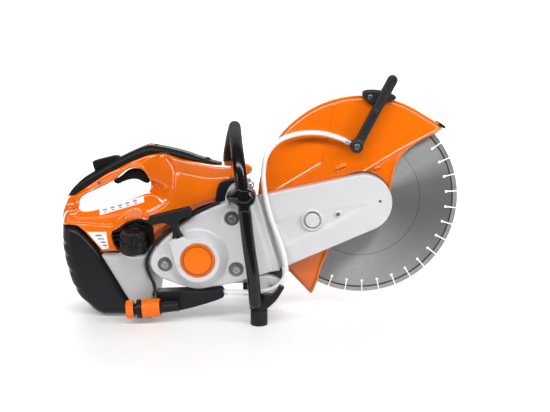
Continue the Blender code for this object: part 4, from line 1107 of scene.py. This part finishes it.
def make_labels():
    """Two plain stickers with simple marks: a strip below the hand opening and one on the lower panel."""
    strip = np.array([(-283, 184.5), (-203, 208.5), (-204, 221), (-284, 197.5)], float)
    card = np.array([(-307, 156), (-271, 156), (-267, 124.5), (-280, 123)], float)
    columns = (-31, -17, -3, 11, 25)
    strip_marks = [(a, 1.5, 4.0, 1.3) for a in columns] + [(a, -2.6, 3.0, 0.9) for a in columns]
    card_marks = [(-4, 9, 6, 1.4), (0, 3, 6, 1.2), (4, -3, 5, 1.2), (7, -9, 3.5, 1.4)]
    for name, outline, low, high, bars in (
        ("strip_label", strip, (-290, -62, 176), (-200, -8, 222), strip_marks),
        ("panel_label", card, (-311, -64, 118), (-262, -48, 162), card_marks),
    ):
        space = Space(low, high, 0.55)
        body, _, hole = housings(space)
        raised = -(space.y + 52) * math.tan(math.radians(10))
        region = both(bent(space, outline, 0, raised), np.minimum(1.5 - hole, space.y + 47))
        near = both(region, space.between(-70, -9))
        moulded(name, space, both(both(body - 0.55, near + 0.5, 0.3), -body - 1.2), M["label"])
        along = (outline[1] - outline[0]) / np.linalg.norm(outline[1] - outline[0])
        up = np.array((-along[1], along[0]))
        middle = outline.mean(0)
        marks = np.inf
        for a, b, length, thick in bars:
            centre = middle + along * a + up * b
            u = (space.x - centre[0]) * along[0] + (space.z - raised - centre[1]) * along[1]
            v = (space.x - centre[0]) * up[0] + (space.z - raised - centre[1]) * up[1]
            marks = np.minimum(marks, np.sqrt(np.maximum(np.abs(u) - length + thick, 0) ** 2 + v**2) - thick)
        moulded(name + "_marks", space, both(both(body - 0.85, both(marks, near)), -body - 0.6), M["ink"])


def make_moulding():
    """The soft black moulding along the top of the handle and the shroud."""
    space = Space((-356, -26, 208), (-56, 42, 311), 1.3)
    under = [(-348, 212, 0), (-340, 214), *SPINE, (-172, 292)] + SHROUD_TOP + [(-63, 270.5, 0)]
    over = [
        (-85, 276), (-108, 284), (-131, 292), (-154, 298), (-184, 304), (-200, 305), (-229, 294), (-253, 282),
        (-298, 257), (-317, 246), (-330, 235), (-341, 223),
    ]
    side = space.side(loop(under + over))
    top = loop([(x, z - 8) for x, z in over[::-1]] + [(-60, 262, 0), (-60, 400, 0), (-400, 400, 0), (-400, 208, 0)])
    ridge = space.side(top)
    half = 21 - 0.62 * (0.5 * (-ridge + np.sqrt(ridge**2 + 1.5)))
    half = half - 2.5 * ease((space.x + 175) / 8) * ease((ridge - 1) / 3)
    across = np.abs(space.y - 8) - half
    body = both(side, across * slope_fix(half, space.step), 3.5)
    slot = space.side([(-307.5, 242.5), (-307.5, 310), (-247, 310), (-247, 271), (-276, 257)])
    body = less(body, both(slot, space.between(-0.3, 16.3)), 1.0)
    switch = space.side([(-205.5, 299), (-205.5, 320), (-184.5, 320), (-184.5, 299)])
    body = less(body, both(switch, space.between(1.5, 14.5)), 1.0)
    body = either(body, space.rod((-95, -2, 276), (-95, 18, 276), 6, edge=2), 3)
    seam = np.maximum(np.abs(space.x + 112 + (space.z - 280) * 0.3) - 0.5, -(side + 1.2))
    body = less(body, seam)
    moulded("top_moulding", space, body, M["black"], "machine", ["handle_moulding"])


def make_filter_cover():
    space = Space((-361.5, -67, -2), (-222, 83, 176), 1.7)
    rear = [(-357.9, 138), (-355.6, 112), (-350, 86), (-343, 62), (-333, 40), (-318, 20), (-300, 6), (-284, 0, 0)]
    edge = [(-259, 81), (-242, 51), (-232, 33)]
    seam = [(-348, 167), (-333.5, 163), (-307, 139), (-286, 117)]
    outline = loop([(-356.5, 166.6, 0), *rear, (-228, 0, 0), (-228, 14), *edge[::-1], *seam[::-1]])
    side = bent(space, outline, *rear_round(space))
    ribs = 0  # 1 in the middle of each groove across the back
    for z in (136, 115, 89, 60, 38, 22):
        ribs = ribs + np.exp(-(((space.z - z) + (space.x + 350) * 0.35) ** 2) / 14)
    inward = np.clip(-side / 14, 0, 1)
    rear_only = ease((-space.x - 275) / 40) * ease((160 - space.z) / 10)
    side = side + 3.0 * ribs * rear_only * (1 - inward)
    body = both(side, space.between(-64, 80), 13)
    moulded("filter_housing", space, body, M["black_smooth"], "machine", ["filter_cover"])


def make_tank():
    space = Space((-284, -99, -1.5), (-181, 79, 136), 1.8)
    outline = loop(
        [
            (-279, 117.5, 0), (-257.8, 81), (-240.8, 51), (-230.8, 33), (-227, 12), (-225, 2, 0), (-192, 2, 0),
            (-187, 30), (-186, 50), (-190, 72), (-199, 95), (-199, 117.5, 0),
        ]
    )
    body = both(space.side(outline), space.between(-78, 76), 7)
    low = np.array((-232.0, -55.0, 74.0))
    body = either(body, space.rod(low, CAP_BASE - CAP_AXIS * 0.2, 15, 23.2, edge=1.5), 10)
    body = either(body, space.rod(CAP_BASE - CAP_AXIS * 12, CAP_BASE + CAP_AXIS * 4.5, 19), 1)
    body = less(body, space.rod(CAP_BASE - CAP_AXIS * 12, CAP_BASE + CAP_AXIS * 20, 14.5), 0.5)
    moulded("tank_shell", space, body, M["tank"], "machine", ["fuel_tank"])


# ---------------------------------------------------------------- drive covers and starter

COVER_TOP = [
    (-192, 106), (-188, 122), (-178, 137), (-158, 157), (-133, 177), (-113, 191), (-91, 202), (-58, 215), (-38, 219),
]
COVER_BOTTOM = [
    (3, 83), (-29, 74), (-51, 68), (-82, 63), (-111, 62), (-133, 64), (-153, 71), (-176, 81), (-188, 93),
]
COVER_SCREWS = [(-165, 104), (-47, 186), (-40, 95)]
PULL_TILT = math.radians(14)
PULL = np.array((-math.sin(PULL_TILT), 0, math.cos(PULL_TILT)))
ROPE_FOOT = np.array((-140.0, -99.0, 152.0))


def make_starter_cover():
    space = Space((-198, -107, 58), (42, -38, 224), 1.25)
    outline = loop([*COVER_TOP, (-1, 219, 0), (37, 90, 0), *COVER_BOTTOM])
    face = loop([*COVER_TOP, (-14, 217, 0), (24, 91, 0), *COVER_BOTTOM])
    base = both(space.side(outline), space.between(-76, -40.5), 3)
    front = both(space.side(face) + 0.6, space.between(-88, -60), 4)
    body = either(base, front, 2)
    radius = space.disc(CRANK, 0)  # how far each place is from the crankshaft
    cone = np.maximum(np.minimum(-88 - (53 - radius) * 0.92, -88 + (radius - 53)), -100.5)
    boss = both(radius - 54, (cone - space.y) * 0.75, 1.5)
    body = either(body, both(boss, space.y + 41), 2.5)
    rim = both(both(radius - 39.5, 30.2 - radius, 1.2), space.between(-102.5, -90), 1.6)
    duct = [(-157, 147), (-150, 153), (-131, 157), (-122, 150), (-112, 125), (-107, 105), (-147, 104)]
    duct = both(space.side(duct), space.between(-104.6, -80), 4)
    body = either(body, duct, 3)
    body = either(body, rim, 0.5)
    body = less(body, both(radius - 30.4, space.between(-110, -99.6)), 0.4)
    for at in COVER_SCREWS:
        wide = space.disc(at, 0)
        body = either(body, both(wide - 16.5, space.between(-89, -60), 2.0), 3)
        body = less(body, both(wide - 13, space.between(-110, -84.5)), 1.0)
        body = less(body, both(wide - 3.4, space.between(-110, -50)))
    body = less(body, space.rod(ROPE_FOOT - PULL * 14, ROPE_FOOT + PULL * 14, 3.4), 0.6)
    moulded("starter_housing", space, body, M["white"], "machine", ["starter_cover"])
    badge = softened([(0, -99.8), (30, -99.8), (30, -102), (29.2, -102.6), (0, -103)], 0.4)
    piece("badge_disc", lathe_y(badge, CRANK, 96), M["orange_small"], "machine", ["starter_badge"])
    for low, high in ((24.2, 25.2), (27.0, 27.5)):
        mark = lathe_y([(low, -102.9), (high, -102.9), (high, -103.15), (low, -103.15)], CRANK, 96, hollow=True)
        piece("badge_ring", mark, M["groove"])
    for index, at in enumerate(COVER_SCREWS):
        washer = softened([(3, -84.6), (12.4, -84.6), (12.4, -85.6), (11.6, -86.2), (3, -86.2)], 0.3, closed=True)
        piece("washer", lathe_y(washer, at, 48, hollow=True), M["washer"])
        bolt = [(0, -50), (3, -50), (3, -86), (6.6, -86), (6.6, -90.6), (5.8, -91.6), (0, -91.6)]
        head = lathe_y(softened(bolt, 0.4), at, 48)
        socket = plate([ring(at, 3.1, 6, 15)], (-94, -88))
        screw = combined(head, cuts=[socket])
        weighted(piece("cover_screw", screw, M["zinc"], "machine", [f"cover_screw_{index + 1}"]))


def make_belt_guard():
    space = Space((0, -72, 87), (240, -39, 266), 1.25)
    outline = np.concatenate([[(42, 92)], arc(SPINDLE, 51, -66, 102, 40), [(4, 223)]])
    side = space.side(outline)
    dip = [
        (22, 176, 0), (60, 188), (110, 200), (160, 208), (186, 209), (190, 203), (172, 188), (140, 170), (100, 151),
        (48, 128, 0),
    ]
    near = -64 + 3.4 * ease(-space.side(loop(dip)) / 13)
    body = both(side, (near - space.y) * slope_fix(near, space.step), 3.2)
    body = both(body, space.y + 40.5, 1)
    knob_at, screw_at = (94, 179), (139, 189)
    knob = space.disc(knob_at, 0)
    body = either(body, both(knob - 19.5, space.between(-66.5, -50), 1.4), 1.5)
    body = less(body, both(both(knob - 15.4, 12.7 - knob), space.between(-80, -60)), 0.4)
    body = less(body, both(knob - 6.8, space.between(-80, -50)))
    screw = space.disc(screw_at, 0)
    body = either(body, both(screw - 5.4, space.between(-64.6, -50), 0.6), 0.8)
    body = less(body, both(screw - 3.9, space.between(-80, -58)), 0.3)
    body = less(body, both(space.disc((213, 212), 2.4), space.between(-80, -50)), 0.3)
    # The arm's covers take the lighter copy of the white: painted light.
    moulded("belt_housing", space, body, M["white_arm"], "machine", ["belt_guard"])
    cap = softened([(0, -48), (6, -48), (6, -66.3), (12.5, -66.3), (12.5, -69), (11, -70), (0, -70)], 0.5)
    slot = box((-4.5, 4.5), (-72, -69.4), (-0.7, 0.7))
    place = Matrix.Translation((knob_at[0] * MM, 0, knob_at[1] * MM))
    slot.transform(place @ Matrix.Rotation(math.radians(12), 4, "Y"))
    knob = combined(lathe_y(cap, knob_at, 64), cuts=[slot])
    piece("tension_knob", knob, M["white_arm"], "machine", ["tension_cap"])
    bolt = lathe_y(softened([(0, -55), (3.4, -55), (3.4, -62.6), (2.6, -63.2), (0, -63.2)], 0.3), screw_at, 32)
    socket = plate([ring(screw_at, 1.8, 6)], (-66, -61.5))
    piece("arm_screw", combined(bolt, cuts=[socket]), M["zinc"])


def make_starter_grip():
    side = np.array((PULL[2], -PULL[0]))
    up = np.array((PULL[0], PULL[2]))
    foot = np.array((ROPE_FOOT[0], ROPE_FOOT[2])) + up * 4
    grip = [
        (-10, 0, 0), (10, 0, 0), (6, 12), (6.5, 21), (12, 29), (32, 31, 0), (36, 39), (32, 48, 0), (-38, 48, 0),
        (-42, 39), (-38, 31, 0), (-15, 29), (-7, 21), (-6, 12),
    ]
    outline = loop([(*(foot + side * a + up * b), *rest) for a, b, *rest in grip], 2)
    slab("pull_grip_bar", outline, (-107, -91), 3.6, M["rubber"], "pull_grip", ["starter_grip"], 50, steps=4)


# ---------------------------------------------------------------- handles, feet, cap and water line

BAR = [
    (-6, -122, 44), (-10, -122, 92), (-17, -122, 143), (-24, -122, 205), (-29, -122, 250), (-33, -116, 283),
    (-37, -96, 306), (-40, -62, 318), (-44, 10, 327), (-47, 66, 331), (-50, 98, 322), (-56, 117.5, 298),
    (-61, 124, 262), (-56, 124, 205), (-44, 124, 143), (-32, 124, 92), (-24, 124, 44),
]


def make_handlebar():
    piece("handlebar_tube", tube(path(BAR, 6), 11.1, 40), M["bar"], "machine", ["handlebar"], 60)
    space = Space((-58, -138, 200), (2, -88, 248), 0.9)
    star = [
        (-55, 231), (-51, 237), (-44, 240), (-38, 246, 0), (-30, 247), (-19, 246, 0), (-13, 242), (-6, 237), (-5, 229),
        (-8, 220), (-14, 214), (-14.5, 204, 0), (-33.5, 204, 0), (-35, 214), (-43, 221), (-51, 224),
    ]
    knob = both(space.side(loop(star, 2)), space.between(-134, -92), 4.5)
    spine = [(-52, 230), (-36, 229), (-30, 243), (-18, 243), (-12, 233), (-9, 231), (-19, 222), (-28, 222)]
    ridge = both(space.side(spine), space.between(-135.7, -100), 2)
    moulded("handlebar_star_clamp", space, either(knob, ridge, 1.5), M["tube"], "machine", ["handlebar_clamp"])
    hoop = [
        (-57, 212, 0), (-58, 222), (-55, 234), (-49, 243), (-40, 247), (-30, 247, 0), (-30, 240, 0), (-40, 240),
        (-46, 236), (-50, 229), (-52, 220), (-51.5, 212, 0),
    ]
    slab("mount_hoop", loop(hoop, 2), (-97, -60), 1.2, M["white"])
    plug = softened([(0, -60), (8.5, -60), (8.5, -90), (7.5, -92), (0, -92)], 1)
    piece("mount_plug", lathe_y(plug, (-42, 230), 48), M["black_smooth"])
    screw_head("mount_screw", (-42, 230), -92, 5.5, 3.5, material=M["washer"])
    liner = [
        (-77, 203, 0), (-76, 222), (-72, 240), (-64, 249), (-46, 253, 0), (-22, 251, 0), (-22, 212, 0), (-50, 204, 0),
    ]
    slab("mount_pocket", loop(liner), (-69, -50), 2.5, M["black_smooth"])


def make_support():
    bracket = [
        (-14, 31.5, 0), (15, 31.5, 0), (30, 46), (44, 68, 0), (36, 72, 0), (24, 57), (8, 56, 0), (8, 43, 0),
        (-14, 43, 0),
    ]
    side = loop(bracket, 2)
    near, far = plate([side], (-116, -98), 1.5), plate([side], (98, 116), 1.5)
    beam = combined(box((-16, 14), (-117, 117), (31.5, 42)), joins=[near, far])
    rest = box((-30, 14), (-40, 45), (36, 55.5))
    mesh = combined(beam, joins=[rest], bevel=1.0)
    weighted(piece("foot_bracket", mesh, M["black_smooth"], "machine", ["support_bracket"]))
    rubber = [
        (0, 31.2), (13, 31.2), (13, 28.2), (14.6, 27.6), (15, 27), (15, 20), (14.7, 19.4), (15, 18.8), (15, 1.5),
        (13.5, 0), (0, 0),
    ]
    for y, name in ((-105, "near"), (105, "far")):
        mesh = lathe(softened(rubber, 0.5), (0, y, 0), (0, 0, 1), 64)
        piece(f"{name}_foot_rubber", mesh, M["rubber"], "machine", [f"front_foot_{name}"], 40)
    casting = loop([(-10, 60, 0), (-8, 78), (12, 83), (27, 79), (36, 71), (28, 60), (8, 57, 0)])
    slab("casting_foot", casting, (-84, -60), 2.5, M["cast_grey"])
    screw_head("casting_screw", (21, 68), -83.5, 4.5, 3)
    # Painted shadow: a dark sheet in the cavity above the foot casting, where it lies in shade.
    dark = loop([(4, 84, 0), (14, 91), (28, 95), (41, 90, 0), (41, 72, 0), (28, 76)])
    slab("casting_shadow", dark, (-66, -56), 1, M["groove"])
    slab("cover_joint_strip", [(-2, 219), (5, 223), (43, 92), (36, 89)], (-58, -41), 0.6, M["cast_grey"])


def make_skid():
    space = Space((-185, -90, 13), (-58, -50, 61), 1.0)
    outline = [
        (-182, 54, 0), (-124, 56), (-66, 58, 0), (-62, 51), (-64, 44), (-104, 30), (-135, 22), (-171, 16),
        (-182, 16, 0),
    ]
    side = space.side(loop(outline))
    body = both(side, space.between(-88.5, -52), 5)
    edge = both(both(side, -side - 3), space.between(-89, -80), 0.8)
    body = either(body, edge, 1)
    body = less(body, space.rod((-90, -76, 50.5), (-50, -76, 50.5), 5.2), 0.6)
    moulded("skid_guard", space, body, M["black_smooth"], "machine", ["skid_plate"])


def fluted(profile, base, direction, count, steps=192):
    """A turned ring. Its profile is a closed loop of (radius, distance, depth of the flutes there)."""
    angles = np.linspace(0, 2 * math.pi, steps, endpoint=False)
    wave = 0.5 - 0.5 * np.cos(angles * count)
    wave = ease(wave * 1.6 - 0.3)  # wide ridges and wide flutes with short slopes between them
    rows = []
    for radius, height, depth in profile:
        reach = radius - depth * wave
        rows.append(np.stack([reach * np.cos(angles), reach * np.sin(angles), np.full(steps, height)], 1))
    turn = np.array(Vector(direction).to_track_quat("Z", "Y").to_matrix())
    points = np.concatenate(rows) @ turn.T + np.array(base, float)
    return built(points, between_rings(len(profile), steps, closed=True))


def make_cap():
    cap = [
        (19.8, 0.6, 0), (23.2, 0.6, 0), (23.7, 1.3, 0), (23.7, 19.5, 0), (23.1, 20.5, 0), (21.8, 21, 0.4),
        (21.8, 21.8, 1.6), (22.2, 22.6, 2.4), (22.2, 35, 2.4), (21.4, 36.6, 2.2), (19.6, 37.6, 1.2), (16.4, 38, 0),
        (15.2, 38, 0), (14.8, 37.4, 0), (14.8, 8, 0), (19.6, 8, 0), (19.6, 1.4, 0),
    ]
    piece("cap_shell", fluted(cap, CAP_BASE, CAP_AXIS, 14), M["black_smooth"], "fuel_cap", ["fuel_cap"])
    plug = softened([(0, 36.2), (14.4, 36.2), (14.4, 5), (13.8, 4), (13.8, -8), (0, -8)], 0.8)
    bar = box((-13, 13), (-1.8, 1.8), (34, 38.2))
    turn = Vector(CAP_AXIS).to_track_quat("Z", "Y").to_matrix().to_4x4()
    bar.transform(Matrix.Translation(Vector(CAP_BASE) * MM) @ turn)
    body = combined(lathe(plug, CAP_BASE, CAP_AXIS, 64), joins=[bar], bevel=0.5)
    weighted(piece("cap_core", body, M["black_smooth"], "filler_plug", ["cap_plug"]))
    space = Space((-264, -62, 121), (-186, -34, 180), 0.75)
    outline = space.side(loop(SURROUND))
    body = both(outline, space.between(-60.5, -36), 2.2)
    body = less(body, both(outline + 4, space.between(-80, -52)), 1)
    body = less(body, space.rod(CAP_BASE - CAP_AXIS * 20, CAP_BASE + CAP_AXIS * 110, 25), 0.8)
    for z in (134, 143, 152):
        slot = np.maximum(np.abs(space.z - z - 2) - 1.8, np.maximum(space.x + 249, -70 - space.y))
        body = less(body, both(slot, both(space.y + 47, -300 - space.x)), 0.6)
    for x in (-236, -228, -220):
        slot = np.maximum(np.abs(space.z - 168.5 - (x + 228) * 0.35) - 1.1, np.abs(space.x - x) - 3.2)
        body = less(body, both(slot, space.y + 46), 0.4)
    body = less(body, both(space.disc((-207, 168.5), 3), space.y + 44), 0.5)
    moulded("filler_insert", space, body, M["black_smooth"], "machine", ["filler_surround"])


def make_controls():
    space = Space((-268, 0, 229), (-196, 16.4, 264), 0.8)
    trigger = loop(
        [
            (-265, 240), (-263, 235), (-257, 233), (-248, 237), (-236, 241), (-226, 242), (-218, 240), (-208, 235),
            (-201, 235), (-200, 245), (-206, 255), (-219, 261), (-232, 261), (-242, 256), (-254, 246),
        ]
    )
    body = both(space.side(trigger), space.between(1.0, 15.0), 3.4)
    moulded("trigger_blade", space, body, M["black_smooth"], "throttle_trigger", ["throttle_trigger"])
    space = Space((-306, 0, 254), (-250, 16.4, 289), 0.8)
    lock = [
        (-303, 273), (-299, 276), (-290, 279, 0), (-262, 286, 0), (-253, 284), (-256, 276, 0), (-280, 266, 0),
        (-299, 257, 0),
    ]
    body = both(space.side(loop(lock)), space.between(1.0, 15.0), 2.4)
    moulded("lock_blade", space, body, M["black_smooth"], "trigger_lock", ["trigger_lock"])
    switch = [(-201, 302), (-200, 306), (-197, 308), (-193, 307.5), (-190, 303), (-192, 300, 0), (-199, 300, 0)]
    slab("switch_tip", loop(switch, 1), (3, 13), 1.2, M["peach"], "stop_switch", ["stop_switch"], 50)


def make_coupling():
    start = np.array((-232.0, -106.0, 27.0))
    axis = np.array((92.0, 0, 7.0)) / math.hypot(92, 7)
    collar = [
        (11.4, 0, 0), (14.6, 0, 0), (15.6, 0.6, 0), (16.2, 1.8, 0.4), (16.3, 3, 0.8), (16.3, 11, 0.8),
        (15.8, 12.4, 0.4), (15.2, 13, 0), (11.4, 13, 0),
    ]
    piece("collar_ring", fluted(collar, start, axis, 16), M["orange_small"], "coupling_collar", ["coupling_collar"])
    nut = [
        (12.4, 27.6, 0), (15.2, 27.6, 0), (16.2, 28.4, 0), (16.5, 29.6, 0), (16.5, 33, 0), (16.1, 34, 0.5),
        (16.1, 55, 0.5), (16.4, 56, 0), (16.2, 57.6, 0), (15.3, 59, 0), (12.4, 59, 0),
    ]
    piece("nut_sleeve", fluted(nut, start, axis, 24), M["orange_small"], "machine", ["coupling_nut"])
    core = [
        (6, 92, 0), (8.8, 92, 0), (9.5, 91.2, 0), (9.5, 88, 0.2), (9.3, 87, 1.3), (9.3, 64, 1.3), (9.5, 62.5, 0),
        (11.4, 61.6, 0), (12, 60.8, 0), (12, 27, 0), (14, 26.6, 0), (16.4, 26.2, 0), (16.8, 25.6, 0), (16.8, 19.6, 0),
        (16.4, 19, 0), (12, 18.8, 0), (10.2, 18.6, 0), (10.2, 2, 0), (6, 2, 0),
    ]
    piece("coupling_core", fluted(core, start, axis, 8), M["black_smooth"], "machine", ["coupling_body"])


HOSE = [
    (-66, -76, 50.5), (-48, -78, 51.5), (-23, -88, 54), (0, -92, 56), (22, -92, 60), (38, -90, 70), (47, -87, 88),
    (46, -84, 106), (41, -81, 130), (31, -79, 158), (19, -77, 191), (12, -73, 219), (8, -67, 245), (8, -61, 270),
    (12, -57, 290), (22, -54, 307), (38, -52, 320), (62, -50, 329), (90, -48, 332), (116, -47, 330), (140, -46, 323),
    (152, -46, 318),
]


def make_lines():
    """The water hose and the starter rope stretch between two bodies, so they go on no body and keep their place in the
    world.
    """
    hose = piece("water_line", tube(path(HOSE, 5), 4.5, rounded=False), M["hose"], None, ["water_hose"], 60)
    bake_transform(hose)
    seal = [
        (-70, -84, 214), (-96, -84, 202.5), (-125, -84, 187), (-158, -84, 163), (-177, -84, 145), (-190, -84, 128),
        (-197, -83, 110), (-197, -83, 96), (-192, -84, 82), (-186, -86, 70), (-184, -87, 60), (-185, -93, 51),
    ]
    piece("seal_strip", tube(path(seal, 4), 3.0, 16), M["rubber"], "machine", ["edge_seal"], 60)
    foot, top = ROPE_FOOT - PULL * 12, ROPE_FOOT + PULL * 7.5
    cord = tube([foot + (top - foot) * i / 60 for i in range(61)], 2.2, 12, rounded=False)
    rope = piece("rope_line", cord, M["rope"], None, ["starter_rope"], 60)
    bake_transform(rope)


def make_rest():
    """Materials for the nodes that stay as they were built."""
    finish = {
        "steel": "spindle spindle_bearing clutch_drum rewind_spring crankshaft connecting_rod outer_flange spindle_nut"
                 " spark_plug av_spring cover_screw_1 cover_screw_2 cover_screw_3",
        "cast": "crankcase cylinder piston flywheel carburetor",
        "dark_cast": "bearing_arm wheel_pulley clutch_hub muffler support_bracket hose_fitting",
        "rubber": "drive_belt front_foot_near front_foot_far starter_grip edge_seal guard_tip",
        "white": "belt_guard tension_cap starter_cover fan_cover",
        "tank": "fuel_tank",
        "orange": "rear_handle engine_shroud starter_badge",
        "orange_small": "coupling_nut coupling_collar",
        "guard": "wheel_guard",
        "black": "filler_surround handle_moulding throttle_trigger trigger_lock filter_cover skid_plate starter_rotor"
                 " starter_rope fuel_cap cap_plug handlebar_clamp coupling_body",
        "grey": "guard_handle guard_saddle",
        "tube": "handlebar",
        "hose": "water_hose",
        "peach": "stop_switch",
        "paper": "air_filter",
        "blade": "blade",
    }
    for name, nodes in finish.items():
        for node in NODES.intersection(nodes.split()):
            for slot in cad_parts[node].material_slots:
                slot.material = M[name]


make_materials()
make_studio()
make_blade()
make_guard()
make_guard_lever()
make_housings()
make_moulding()
make_filter_cover()
make_tank()
make_starter_cover()
make_belt_guard()
make_starter_grip()
make_handlebar()
make_support()
make_skid()
make_cap()
make_controls()
make_coupling()
make_lines()
make_rest()
